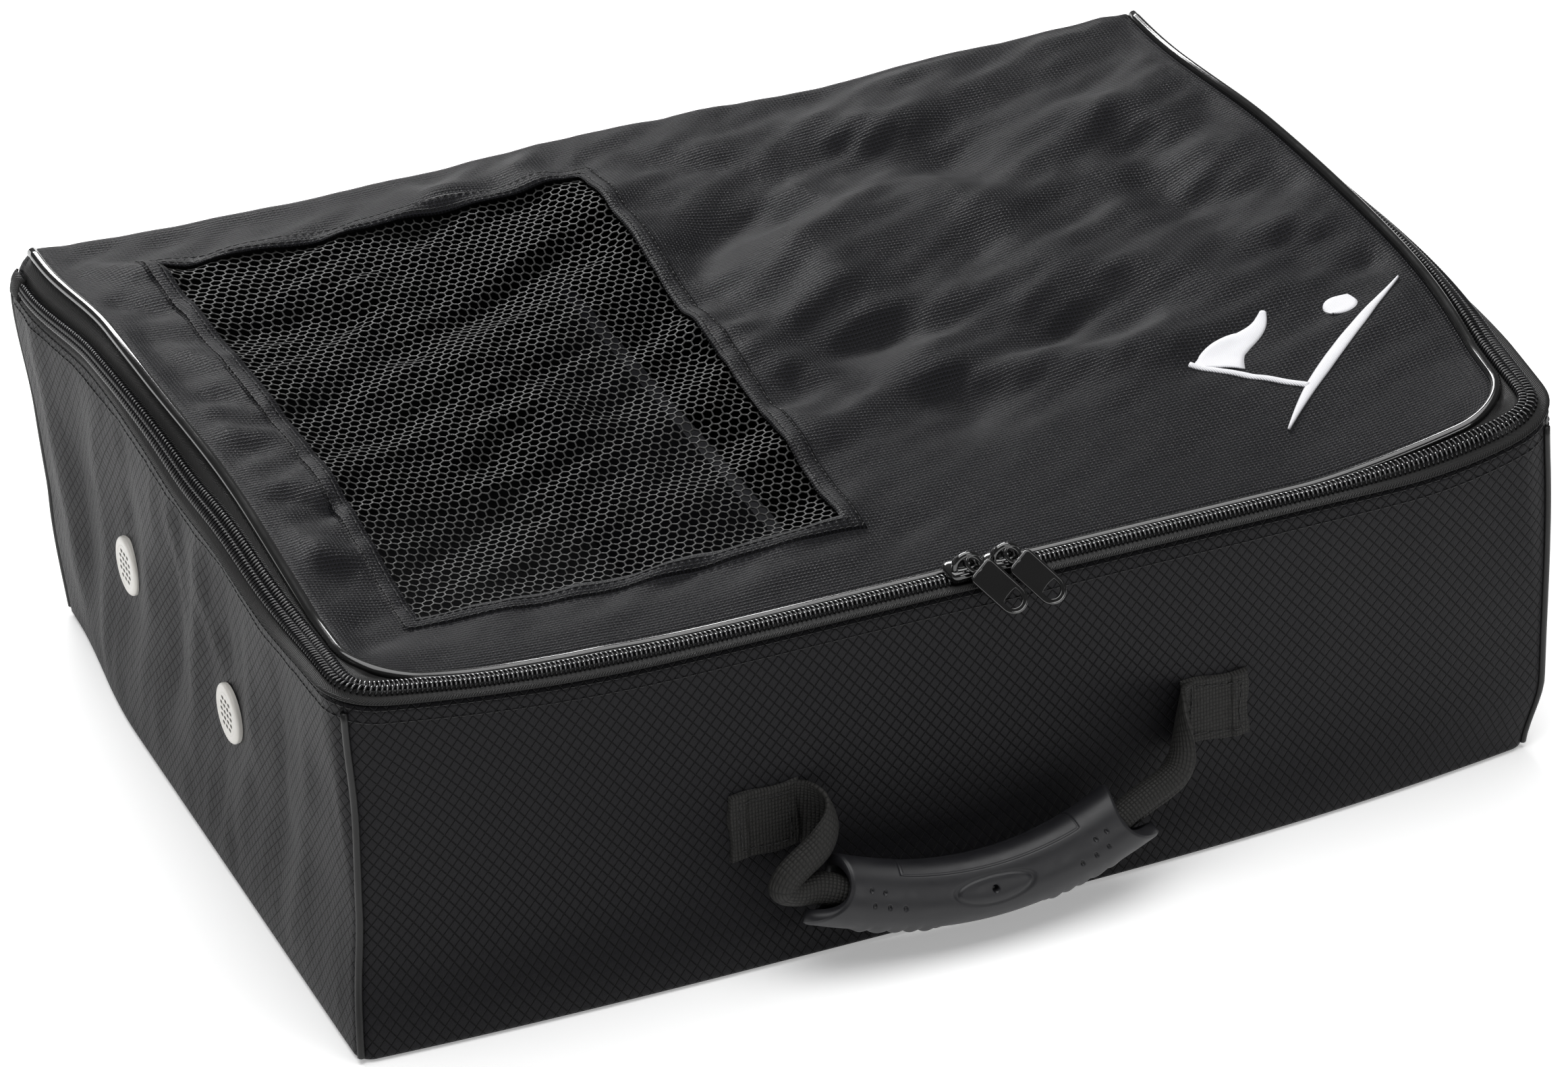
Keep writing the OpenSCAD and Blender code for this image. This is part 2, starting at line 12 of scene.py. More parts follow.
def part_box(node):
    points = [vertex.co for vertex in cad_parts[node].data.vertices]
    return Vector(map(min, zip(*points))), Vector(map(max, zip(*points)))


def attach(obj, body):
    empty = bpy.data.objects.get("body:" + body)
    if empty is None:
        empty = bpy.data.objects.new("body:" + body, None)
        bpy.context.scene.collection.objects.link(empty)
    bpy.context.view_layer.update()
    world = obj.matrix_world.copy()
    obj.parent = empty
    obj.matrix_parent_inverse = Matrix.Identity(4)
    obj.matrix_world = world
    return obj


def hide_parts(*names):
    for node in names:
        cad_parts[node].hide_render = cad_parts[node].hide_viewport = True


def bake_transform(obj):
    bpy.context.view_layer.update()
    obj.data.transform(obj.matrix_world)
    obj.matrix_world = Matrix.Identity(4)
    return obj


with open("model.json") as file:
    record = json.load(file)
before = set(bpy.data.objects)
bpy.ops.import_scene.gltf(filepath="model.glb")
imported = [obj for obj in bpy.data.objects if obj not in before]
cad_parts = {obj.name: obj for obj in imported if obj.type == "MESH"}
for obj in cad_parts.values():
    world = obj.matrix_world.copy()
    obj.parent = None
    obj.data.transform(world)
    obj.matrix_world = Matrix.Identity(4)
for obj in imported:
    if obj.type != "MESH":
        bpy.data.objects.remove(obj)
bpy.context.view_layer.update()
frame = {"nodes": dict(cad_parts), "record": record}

MM = 0.001
UP = np.array([0.0, 0.0, 1.0])
scene = bpy.context.scene

# ---- sizes taken from the frame --------------------------------------------------------------

back_wall_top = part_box("back_wall")[1]
HALF_L, HALF_W, WALL_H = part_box("right_wall")[1].x, back_wall_top.y, back_wall_top.z
WALL_T = 2.2 * MM
FRONT_SAG = 14.5 * MM
FRONT_MID = WALL_H - FRONT_SAG
LID_BACK_Y = HALF_W - 13 * MM
EDGE_X, EDGE_Y, EDGE_R = HALF_L - 14.5 * MM, HALF_W - 15 * MM, 24 * MM
CORNER_R, REAR_R, FOOT_R = 18 * MM, 9 * MM, 7 * MM
BAND_END_Y = 171 * MM
win_lo, win_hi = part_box("mesh_window")
PIPING_R = 2.2 * MM
# distances across the zip band, from the walls' top edge
CHAIN_START, CHAIN_MID, CHAIN_END = 3.6 * MM, 7.6 * MM, 11.6 * MM
vent_lo, vent_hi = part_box("vent_caps")
VENT_Z, VENT_R = (vent_lo.z + vent_hi.z) / 2, (vent_hi.z - vent_lo.z) / 2
VENT_Y = (vent_lo.y + VENT_R, vent_hi.y - VENT_R)


# ---- numbers ---------------------------------------------------------------------------------

def smooth(t):
    """Step from 0 to 1 as t goes from 0 to 1, level at both ends."""
    t = np.clip(t, 0, 1)
    return t * t * (3 - 2 * t)


def bump(x, centre, width):
    """Bell curve of height 1."""
    return np.exp(-(((x - centre) / width) ** 2))


def unit(v):
    v = np.asarray(v, float)
    return v / np.maximum(np.linalg.norm(v, axis=-1, keepdims=True), 1e-12)


def ripple(points, scale, seed=0.0, octaves=3):
    """Smooth noise from about -1 to 1 at each point, with features of the given size."""
    flat = np.asarray(points, float).reshape(-1, 3) / scale + seed * 17.3
    out = [noise.fractal(Vector(p), 0.6, 2.0, octaves) for p in flat]
    return np.array(out).reshape(np.asarray(points).shape[:-1])


def crease(a, b, folds):
    """Sum of soft ridges on a surface with coordinates a, b. Each fold is
    (a0, b0, a1, b1, width, height) in millimetres: a line that rises and fades along its run."""
    total = np.zeros_like(a)
    for a0, b0, a1, b1, width, height in folds:
        p, q = np.array([a0, b0]) * MM, np.array([a1, b1]) * MM
        run = q - p
        t = ((a - p[0]) * run[0] + (b - p[1]) * run[1]) / (run @ run)
        off = ((a - p[0]) * run[1] - (b - p[1]) * run[0]) / np.linalg.norm(run)
        off = off + 0.15 * width * MM * np.sin(6.0 * t + a0)
        fade = np.sin(np.pi * np.clip(t, 0, 1)) ** 0.7
        total += height * MM * np.exp(-((off / (width * MM)) ** 2)) * fade
    return total


def settle(points):
    """Where the soft cloth comes to rest: the right side and the front's foot spread outwards,
    the rear left foot is drawn in, and the back of the lid sinks. The shifts are in millimetres."""
    p = np.array(points, float).reshape(-1, 3)
    x, y, z = p.T
    right, left = smooth((x - 0.12) / 0.11), smooth((-x - 0.12) / 0.11)
    front, rear = smooth((-y - 0.08) / 0.09), smooth((y - 0.06) / 0.12)
    # right wall: out above its foot, most of all beside the front half of the lid
    dx = right * (7.5 * smooth(z / 0.03) - 3.5) * (1 - 0.3 * smooth((z - 0.12) / 0.04) * bump(y, -0.19, 0.05))
    belly = 16.0 * bump(y, -0.060, 0.10) - 3.0 * bump(y, 0.12, 0.06)
    dx = dx + right * belly * smooth((z - 0.05) / 0.07)
    # left wall: hollow at half height, out at the rear corner
    hollow = 6.0 * smooth(z / 0.06) - 3.0 * smooth((z - 0.09) / 0.05)
    dx = dx - left * (2.5 - hollow + 5.0 * smooth((y - 0.09) / 0.07) * smooth(z / 0.05))
    lean = np.clip(1 - z / 0.14, 0, 1) ** 1.3 * left * rear
    dx = dx + 7.0 * lean
    # the lid's side edges spread towards the back
    spread = smooth((z - 0.150) / 0.018) * smooth((y + 0.06) / 0.14) * smooth((np.abs(x) - 0.12) / 0.1)
    dx = dx + 6.5 * np.sign(x) * spread
    along_front = np.clip(1 - (np.abs(x + 0.05) / 0.30) ** 3, 0, 1)
    dy = -front * along_front * (12.5 * np.exp(-((z / 0.026) ** 2)) + 4 * (1 - smooth(z / 0.12)))
    dy = dy - 18 * lean
    dip = 6.0 - 1.5 * bump(x, 0.07, 0.08) - 1.5 * smooth((x - 0.1) / 0.08)
    dz = -dip * smooth((y - 0.05) / 0.11) * smooth((z - 0.14) / 0.02)
    return p + MM * np.stack([dx, dy, dz], -1)


# ---- meshes ----------------------------------------------------------------------------------

def make(name, verts, faces, mats, uv=None, smooth_shade=True, soft=True):
    """A mesh object; a soft one settles with the cloth."""
    verts = np.asarray(verts, float).reshape(-1, 3)
    mesh = bpy.data.meshes.new(name)
    mesh.from_pydata((settle(verts) if soft else verts).tolist(), [], [list(f) for f in faces])
    for m in mats:
        mesh.materials.append(m)
    if uv is not None:
        layer = mesh.uv_layers.new(name="cloth")
        loops = np.zeros(len(mesh.loops), np.int32)
        mesh.loops.foreach_get("vertex_index", loops)
        layer.data.foreach_set("uv", np.asarray(uv, float).reshape(-1, 2)[loops].astype(np.float32).ravel())
    mesh.polygons.foreach_set("use_smooth", [smooth_shade] * len(mesh.polygons))
    mesh.update()
    obj = bpy.data.objects.new(name, mesh)
    scene.collection.objects.link(obj)
    return obj


def grid_faces(nu, nv, keep=None, close_u=False, close_v=False):
    faces = []
    for i in range(nu if close_u else nu - 1):
        for j in range(nv if close_v else nv - 1):
            if keep is None or keep(i, j):
                k, l = (i + 1) % nu, (j + 1) % nv
                faces.append((i * nv + j, k * nv + j, k * nv + l, i * nv + l))
    return faces


def capped_faces(rings, sides):
    """Faces of a closed bar made of rings of points, looking out."""
    faces = grid_faces(rings, sides, close_v=True)
    faces += [tuple(range(sides)), tuple((rings - 1) * sides + k for k in reversed(range(sides)))]
    return [tuple(reversed(f)) for f in faces]


def grid(name, points, mats, uv=None, keep=None, close_u=False, close_v=False, soft=True):
    """Surface from points[u, v]; its outside is the side of du x dv."""
    nu, nv = points.shape[:2]
    return make(name, points, grid_faces(nu, nv, keep, close_u, close_v), mats, uv, soft=soft)


def drop_loose(obj):
    bm = bmesh.new()
    bm.from_mesh(obj.data)
    loose = [v for v in bm.verts if not v.link_faces]
    bmesh.ops.delete(bm, geom=loose, context="VERTS")
    bm.to_mesh(obj.data)
    bm.free()


def face_up(obj):
    """Turn the faces over if they look down on the whole."""
    if sum(p.normal.z for p in obj.data.polygons) < 0:
        obj.data.flip_normals()


def solidify(obj, thickness, inner=0, offset=-1.0):
    mod = obj.modifiers.new("thickness", "SOLIDIFY")
    mod.thickness, mod.offset = thickness, offset
    mod.material_offset = mod.material_offset_rim = inner
    return obj


def tube(name, path, radius, mats, sides=12, close=False, soft=True):
    """Round bar along path; radius is one number or one for each point."""
    path = np.asarray(path, float)
    n = len(path)
    radius = np.broadcast_to(radius, (n,))
    run = np.roll(path, -1, 0) - np.roll(path, 1, 0) if close else np.gradient(path, axis=0)
    run = unit(run)
    side = np.zeros_like(path)
    guide = np.cross(run[0], UP) if abs(run[0][2]) < 0.9 else np.cross(run[0], [0, 1, 0])
    for i in range(n):
        guide = unit(guide - (guide @ run[i]) * run[i])
        side[i] = guide
    other = np.cross(run, side)
    angle = np.linspace(0, 2 * np.pi, sides, endpoint=False)
    ring = (
        path[:, None]
        + radius[:, None, None] * np.cos(angle)[None, :, None] * side[:, None]
        + radius[:, None, None] * np.sin(angle)[None, :, None] * other[:, None]
    )
    if close:
        faces = [tuple(reversed(f)) for f in grid_faces(n, sides, close_u=True, close_v=True)]
    else:
        faces = capped_faces(n, sides)
    return make(name, ring, faces, mats, soft=soft)


def copies(name, verts, faces, frames, mats, soft=True):
    """The same small shape set at many places; frames are (origin, x, y, z) with rows of axes."""
    verts = np.asarray(verts, float)
    out_v, out_f = [], []
    for k, (o, x, y, z) in enumerate(frames):
        out_v.append(o + verts[:, :1] * x + verts[:, 1:2] * y + verts[:, 2:3] * z)
        out_f += [tuple(v + k * len(verts) for v in f) for f in faces]
    return make(name, np.concatenate(out_v), out_f, mats, soft=soft)


def stitch_shape(length, width, height):
    """A thread between two needle holes: a rounded bar that dips at its ends."""
    rings, sides = 5, 6
    verts = []
    for i in range(rings):
        t = i / (rings - 1)
        fat = 0.45 + 0.55 * math.sin(math.pi * t)
        for j in range(sides):
            a = 2 * math.pi * j / sides
            verts.append([
                (t - 0.5) * length,
                0.5 * width * fat * math.cos(a),
                height * (fat - 0.55) + 0.5 * width * fat * math.sin(a),
            ])
    return np.array(verts), capped_faces(rings, sides)


def along(points, pitch):
    """Places at equal steps along a line of points, as fractional index positions."""
    step = np.linalg.norm(np.diff(points, axis=0), axis=1)
    run = np.concatenate([[0], np.cumsum(step)])
    marks = np.arange(pitch / 2, run[-1] - pitch / 4, pitch)
    return np.interp(marks, run, np.arange(len(points)))


def pick(values, where):
    """Values at fractional index positions."""
    i = np.clip(np.floor(where).astype(int), 0, len(values) - 2)
    f = (where - i)[:, None]
    return values[i] * (1 - f) + values[i + 1] * f


def stitches(name, points, normals, mats, pitch=3.4 * MM, length=2.7 * MM, width=0.55 * MM):
    """A row of stitches that lies on a surface with the given normals."""
    where = along(points, pitch)
    at, up = pick(points, where), unit(pick(normals, where))
    run = unit(pick(np.gradient(points, axis=0), where))
    side = unit(np.cross(up, run))
    verts, faces = stitch_shape(length, width, 0.22 * MM)
    return copies(name, verts, faces, list(zip(at, run, side, np.cross(run, side))), mats)


def join(name, objs):
    bpy.ops.object.select_all(action="DESELECT")
    for o in objs:
        o.select_set(True)
    bpy.context.view_layer.objects.active = objs[0]
    bpy.ops.object.join()
    objs[0].name = name
    objs[0].data.name = name
    return objs[0]


# ---- camera and stage ------------------------------------------------------------------------

def make_camera():
    """A long lens from the front left, a little rolled."""
    azimuth, elevation, roll = (math.radians(a) for a in (-22.77, 30.12, -1.37))
    back = np.array([
        math.sin(azimuth) * math.cos(elevation), -math.cos(azimuth) * math.cos(elevation), math.sin(elevation)
    ])
    level = np.array([math.cos(azimuth), math.sin(azimuth), 0])
    upright = np.cross(back, level)
    right = level * math.cos(roll) + upright * math.sin(roll)
    up = upright * math.cos(roll) - level * math.sin(roll)
    aim = np.array([0, 0.015, 0.075]) + right * 0.0121 - up * 0.0177
    cam = bpy.data.objects.new("camera", bpy.data.cameras.new("camera"))
    scene.collection.objects.link(cam)
    turn = Matrix((right.tolist(), up.tolist(), back.tolist())).transposed()
    cam.matrix_world = Matrix.Translation((aim + back * 2.8135).tolist()) @ turn.to_4x4()
    cam.data.lens, cam.data.sensor_width = 160.4, 36.0
    cam.data.clip_end = 50
    scene.camera = cam


def area_light(name, at, aim, size, power):
    data = bpy.data.lights.new(name, "AREA")
    data.shape, data.size, data.size_y = "RECTANGLE", size[0], size[1]
    data.energy = power
    lamp = bpy.data.objects.new(name, data)
    lamp.location = at
    lamp.rotation_euler = (Vector(aim) - Vector(at)).to_track_quat("-Z", "Y").to_euler()
    scene.collection.objects.link(lamp)


FLOOR_HALF, FLOOR_Z = 12.0, -0.4 * MM


def make_stage():
    """White floor that glows a little, a dim world and four softboxes."""
    floor_mat = bpy.data.materials.new("studio_floor")
    floor_mat.use_nodes = True
    shader = floor_mat.node_tree.nodes["Principled BSDF"]
    shader.inputs["Base Color"].default_value = (0.93, 0.93, 0.93, 1)
    shader.inputs["Roughness"].default_value = 0.9
    shader.inputs["Specular IOR Level"].default_value = 0.1
    shader.inputs["Emission Color"].default_value = (1, 1, 1, 1)
    shader.inputs["Emission Strength"].default_value = 0.30
    corners = [(FLOOR_HALF * u, FLOOR_HALF * v, 0) for u, v in ((-1, -1), (1, -1), (1, 1), (-1, 1))]
    floor = make("studio_floor", corners, [(0, 1, 2, 3)], [floor_mat])
    floor.location.z = FLOOR_Z
    world = bpy.data.worlds.new("studio")
    world.use_nodes = True
    sky = world.node_tree.nodes["Background"]
    sky.inputs["Color"].default_value = (1, 1, 1, 1)
    sky.inputs["Strength"].default_value = 0.12
    scene.world = world
    scene.view_settings.view_transform = "Standard"
    area_light("overhead", (0, 0.1, 2.6), (0, 0.1, 0), (3.2, 3.2), 92)
    area_light("back_softbox", (0.25, 2.6, 1.35), (0.05, 0, 0.1), (1.5, 0.5), 62)
    area_light("left_softbox", (-2.4, -0.2, 0.8), (-0.2, 0, 0.08), (0.5, 0.9), 0.6)
    area_light("front_softbox", (1.1, -2.4, 1.1), (0, 0, 0.1), (0.9, 0.6), 7)


# ---- materials -------------------------------------------------------------------------------

class Nodes:
    """Short calls for building one material's node tree."""

    def __init__(self, name, **settings):
        self.mat = bpy.data.materials.new(name)
        self.mat.use_nodes = True
        self.tree = self.mat.node_tree
        self.bsdf = self.tree.nodes["Principled BSDF"]
        for key, value in settings.items():
            self.bsdf.inputs[key.replace("_", " ")].default_value = value

    def new(self, kind, **settings):
        node = self.tree.nodes.new(kind)
        for key, value in settings.items():
            setattr(node, key, value)
        return node

    def feed(self, socket, value):
        if hasattr(value, "is_output"):
            self.tree.links.new(value, socket)
        elif value is not None:
            socket.default_value = value

    def math(self, op, a, b=None, c=None):
        node = self.new("ShaderNodeMath", operation=op)
        for socket, value in zip(node.inputs, (a, b, c)):
            self.feed(socket, value)
        return node.outputs[0]

    def vec(self, op, a, b=None, c=None, out=0):
        node = self.new("ShaderNodeVectorMath", operation=op)
        for socket, value in zip(node.inputs, (a, b, c)):
            self.feed(socket, value)
        return node.outputs[out]

    def coord(self, kind="UV"):
        if kind == "UV":
            return self.new("ShaderNodeUVMap", uv_map="cloth").outputs[0]
        return self.new("ShaderNodeTexCoord").outputs[kind]

    def split(self, v):
        node = self.new("ShaderNodeSeparateXYZ")
        self.feed(node.inputs[0], v)
        return node.outputs

    def noise(self, vector, scale, detail=3.0, rough=0.6):
        node = self.new("ShaderNodeTexNoise")
        self.feed(node.inputs["Vector"], vector)
        node.inputs["Scale"].default_value = scale
        node.inputs["Detail"].default_value = detail
        node.inputs["Roughness"].default_value = rough
        return node.outputs[0]

    def span(self, value, low, high, to_low=0.0, to_high=1.0, smooth_step=False):
        node = self.new("ShaderNodeMapRange")
        if smooth_step:
            node.interpolation_type = "SMOOTHSTEP"
        for socket, v in zip(node.inputs, (value, low, high, to_low, to_high)):
            self.feed(socket, v)
        return node.outputs[0]

    def mix(self, factor, a, b):
        node = self.new("ShaderNodeMix", data_type="RGBA")
        self.feed(node.inputs[0], factor)
        for socket, v in ((node.inputs[6], a), (node.inputs[7], b)):
            self.feed(socket, (*v, 1) if isinstance(v, tuple) else v)
        return node.outputs[2]

    def bump(self, height, distance, strength=1.0):
        node = self.new("ShaderNodeBump")
        node.inputs["Strength"].default_value = strength
        node.inputs["Distance"].default_value = distance
        self.feed(node.inputs["Height"], height)
        return node.outputs[0]

    def colour(self, value):
        self.feed(self.bsdf.inputs["Base Color"], value)

    def rough(self, value):
        self.feed(self.bsdf.inputs["Roughness"], value)

    def normal(self, value):
        self.feed(self.bsdf.inputs["Normal"], value)


def ripstop_material():
    """Satin nylon with raised rhombic cells about 5 mm across, each finely hatched."""
    n = Nodes("ripstop_nylon", Specular_IOR_Level=0.15)
    uv = n.coord()
    wide, high = 4.7 * MM, 5.6 * MM
    rise = n.vec("DOT_PRODUCT", uv, (1 / wide, 1 / high, 0), out=1)
    fall = n.vec("DOT_PRODUCT", uv, (1 / wide, -1 / high, 0), out=1)
    reach = n.math("MAXIMUM", n.math("PINGPONG", rise, 0.5), n.math("PINGPONG", fall, 0.5))
    groove = n.span(reach, 0.40, 0.49, 0.0, 1.0, smooth_step=True)
    hatch = n.math("SINE", n.math("MULTIPLY", n.math("ADD", rise, n.math("MULTIPLY", fall, 0.6)), 48.0))
    dome = n.math("MULTIPLY", n.math("SUBTRACT", 1.0, groove), n.span(reach, 0.0, 0.5, 1.0, 0.75))
    height = n.math("ADD", dome, n.math("MULTIPLY", hatch, 0.10))
    fade = n.noise(uv, 9.0, 2.0)
    light = n.mix(fade, (0.0060, 0.0058, 0.0072), (0.0102, 0.0098, 0.0118))
    cellular = n.mix(n.span(hatch, -1, 1, 0, 0.35), light, (0.004, 0.004, 0.005))
    # the grooves between the cells are painted near black: painted shade in the recesses
    n.colour(n.mix(groove, cellular, (0.0008, 0.0008, 0.0008)))
    n.rough(n.span(n.math("ADD", fade, groove), 0.2, 1.6, 0.38, 0.62))
    n.normal(n.bump(height, 0.35 * MM, 0.9))
    n.bsdf.inputs["Sheen Weight"].default_value = 0.02
    n.bsdf.inputs["Sheen Roughness"].default_value = 0.4
    return n.mat


def oxford_material():
    """Charcoal basket weave with a small pit between the thread crossings, painted near black as shade in the
    hollow.
    """
    n = Nodes("oxford_cloth", Specular_IOR_Level=0.13)
    uv = n.coord()
    pitch = 1.55 * MM
    p = n.vec("MULTIPLY", uv, (1 / pitch, 1 / pitch, 0))
    px, py, _ = n.split(n.vec("WRAP", p, (0.5, 0.5, 0.5), (-0.5, -0.5, -0.5)))
    ax, ay = n.math("ABSOLUTE", px), n.math("ABSOLUTE", py)
    corner = n.math("POWER", n.math("ADD", n.math("POWER", ax, 3.0), n.math("POWER", ay, 3.0)), 1 / 3)
    pit = n.span(corner, 0.24, 0.44, 1.0, 0.0, smooth_step=True)
    thread = n.math("SINE", n.math("MULTIPLY", n.math("ADD", px, py), 25.0))
    height = n.math("SUBTRACT", n.math("MULTIPLY", thread, 0.08), pit)
    fade = n.noise(uv, 7.0, 3.0)
    light = n.mix(fade, (0.0048, 0.0048, 0.0066), (0.0090, 0.0090, 0.0118))
    # the pits are painted near black: painted shade in the hollows of the weave
    n.colour(n.mix(pit, light, (0.0006, 0.0006, 0.0009)))
    n.rough(n.span(fade, 0.2, 0.8, 0.40, 0.55))
    n.normal(n.bump(height, 0.30 * MM, 1.0))
    n.bsdf.inputs["Sheen Weight"].default_value = 0.015
    n.bsdf.inputs["Sheen Roughness"].default_value = 0.22
    return n.mat


def tape_material():
    """Herringbone zip tape: ribs that change direction in narrow columns."""
    n = Nodes("zip_tape", Specular_IOR_Level=0.35)
    uv = n.coord()
    u, v, _ = n.split(uv)
    column = 3.2 * MM
    zig = n.math("PINGPONG", v, column)
    rib = n.math("SINE", n.math("MULTIPLY", n.math("ADD", u, zig), 2 * math.pi / (1.1 * MM)))
    n.colour(n.mix(n.span(rib, -1, 1), (0.003, 0.003, 0.003), (0.009, 0.0085, 0.0085)))
    n.rough(n.span(rib, -1, 1, 0.75, 0.55))
    n.normal(n.bump(rib, 0.15 * MM, 0.7))
    return n.mat


def gloss_material(name, colour, rough, grain=60.0, coat=0.5):
    """Black moulded or enamelled part with faint handling marks."""
    n = Nodes(name, Coat_Weight=coat, Coat_Roughness=0.08, Specular_IOR_Level=0.6)
    at = n.coord("Object")
    marks = n.noise(at, grain, 4.0)
    n.colour(n.mix(marks, tuple(0.7 * c for c in colour), tuple(1.4 * c for c in colour)))
    n.rough(n.span(marks, 0.3, 0.7, rough * 0.8, rough * 1.3))
    n.normal(n.bump(n.noise(at, grain * 14, 2.0), 0.02 * MM, 0.4))
    return n.mat


def plain_material(name, low, high, rough, scale, depth, spec=0.4, strength=0.6):
    """Solid plastic, rubber, board or coated cloth: a grained surface with uneven tone."""
    n = Nodes(name, Specular_IOR_Level=spec)
    at = n.coord("Object")
    tone = n.noise(at, scale / 12, 3.0)
    n.colour(n.mix(tone, low, high))
    n.rough(n.span(tone, 0.3, 0.7, rough - 0.06, rough + 0.06))
    n.normal(n.bump(n.noise(at, scale, 3.0), depth, strength))
    return n.mat


def webbing_material():
    """Coarse plain weave, threads about a millimetre and a half wide, near black."""
    n = Nodes("woven_webbing", Specular_IOR_Level=0.4)
    uv = n.coord()
    pitch_u, pitch_v = 1.6 * MM, 1.35 * MM
    u, v, _ = n.split(uv)
    cu = n.math("SINE", n.math("MULTIPLY", u, math.pi / pitch_u))
    cv = n.math("SINE", n.math("MULTIPLY", v, math.pi / pitch_v))
    check = n.math("GREATER_THAN", n.math("MULTIPLY", cu, cv), 0.0)
    knot = n.math("POWER", n.math("ABSOLUTE", n.math("MULTIPLY", cu, cv)), 0.5)
    height = n.math("MULTIPLY", knot, n.span(check, 0, 1, 0.72, 1.0))
    fray = n.noise(uv, 900.0, 2.0)
    # the raised knots are painted lighter and the gaps between them near black: painted highlight on the knots
    # and painted shade between the threads
    tone = n.mix(knot, (0.0006, 0.0006, 0.0005), (0.0190, 0.0182, 0.0165))
    n.colour(n.mix(n.math("MULTIPLY", fray, 0.35), tone, (0.006, 0.0055, 0.0045)))
    n.rough(n.span(fray, 0.2, 0.8, 0.6, 0.8))
    n.normal(n.bump(height, 0.45 * MM, 0.9))
    return n.mat


def thread_material(name, low, high):
    """Shiny thread with fine slanting strands."""
    n = Nodes(name, Specular_IOR_Level=0.5)
    at = n.coord("Object")
    x, y, _ = n.split(at)
    strand = n.math("SINE", n.math("MULTIPLY", n.math("ADD", x, n.math("MULTIPLY", y, 0.35)), 9500.0))
    n.colour(n.mix(n.span(strand, -1, 1), low, high))
    n.rough(n.span(n.noise(at, 300.0), 0.3, 0.7, 0.38, 0.55))
    n.normal(n.bump(strand, 0.12 * MM, 0.6))
    return n.mat


slot_of = {s["node"]: s["material_slot"] for s in frame["record"]["subparts"]}
make_camera()
make_stage()
RIPSTOP, OXFORD, TAPE = ripstop_material(), oxford_material(), tape_material()
WEBBING = webbing_material()
COIL = gloss_material("nylon_coil", (0.008, 0.008, 0.009), 0.22, coat=0.3)
PIPING = gloss_material("vinyl_piping", (0.006, 0.006, 0.006), 0.16)
ENAMEL = gloss_material("black_enamel", (0.004, 0.004, 0.004), 0.10, coat=1.0)
NICKEL = plain_material("vent_shell", (0.62, 0.60, 0.56), (0.80, 0.78, 0.73), 0.32, 500, 0.02 * MM, 0.6)
# near-black material for the disc behind the vent grilles: painted shade seen through the slots
SLOT_SHADE = plain_material("vent_slot_shade", (0.02, 0.02, 0.02), (0.035, 0.034, 0.032), 0.6, 300, 0.02 * MM)
RUBBER = plain_material("soft_rubber", (0.010, 0.010, 0.012), (0.014, 0.014, 0.016), 0.42, 1800, 0.04 * MM, 0.45)
COATED = plain_material("coated_back", (0.005, 0.005, 0.0055), (0.010, 0.010, 0.011), 0.62, 700, 0.08 * MM, 0.2)
BOARD = plain_material("grey_board", (0.18, 0.18, 0.175), (0.26, 0.26, 0.25), 0.7, 400, 0.05 * MM)
DIVIDER = plain_material("divider_cloth", (0.008, 0.008, 0.011), (0.014, 0.014, 0.018), 0.6, 1500, 0.08 * MM)
KNIT = plain_material("mesh_yarn", (0.0030, 0.0030, 0.0028), (0.0080, 0.0080, 0.0074), 0.5, 2500, 0.06 * MM, 0.3)
TAPE_EDGE = plain_material("welt_cord", (0.004, 0.004, 0.004), (0.009, 0.009, 0.009), 0.45, 900, 0.05 * MM)
BLACK_THREAD = thread_material("black_thread", (0.003, 0.003, 0.003), (0.016, 0.016, 0.017))
WHITE_THREAD = thread_material("white_thread", (0.62, 0.62, 0.66), (0.93, 0.93, 0.95))


# ---- heights of the walls' top edge and of the lid ---------------------------------------------

def wall_top(x, y):
    run = np.where(x < 0, 140 * MM, 70 * MM)
    z = FRONT_MID + FRONT_SAG * np.clip(1 - (HALF_L - np.abs(x)) / run, 0, 1) ** 2
    left = smooth((-x - (HALF_L - 30 * MM)) / (25 * MM))
    dips = -6 * bump(y, -0.100, 0.050) - 3.5 * bump(y, -0.012, 0.032) + 3 * bump(y, 0.090, 0.05)
    right = smooth((x - (HALF_L - 30 * MM)) / (25 * MM))
    waves = -3 * bump(y, -0.07, 0.05) + 1.5 * bump(y, 0.05, 0.06) - 2 * bump(y, 0.12, 0.03)
    return z + MM * (left * dips + right * waves)


def lid_side(d):
    return 171 * MM - 22 * MM * np.clip((0.300 - d) / 0.240, 0, 1) ** 1.6


def lid_mid(d):
    return FRONT_MID + 35 * MM * np.clip((d - 0.015) / 0.315, 0, 1) ** 0.85


def lid_edge_z(x, y):
    """The lid without its folds: high along both sides, low in the middle of the front."""
    d = y + HALF_W
    w = np.clip(1 - (EDGE_X - np.abs(x)) / (85 * MM), 0, 1) ** 1.5
    z = lid_mid(d) + (lid_side(d) - lid_mid(d)) * w
    return z + 2.5 * MM * bump(x, -0.155, 0.032) * bump(y, -0.170, 0.05)


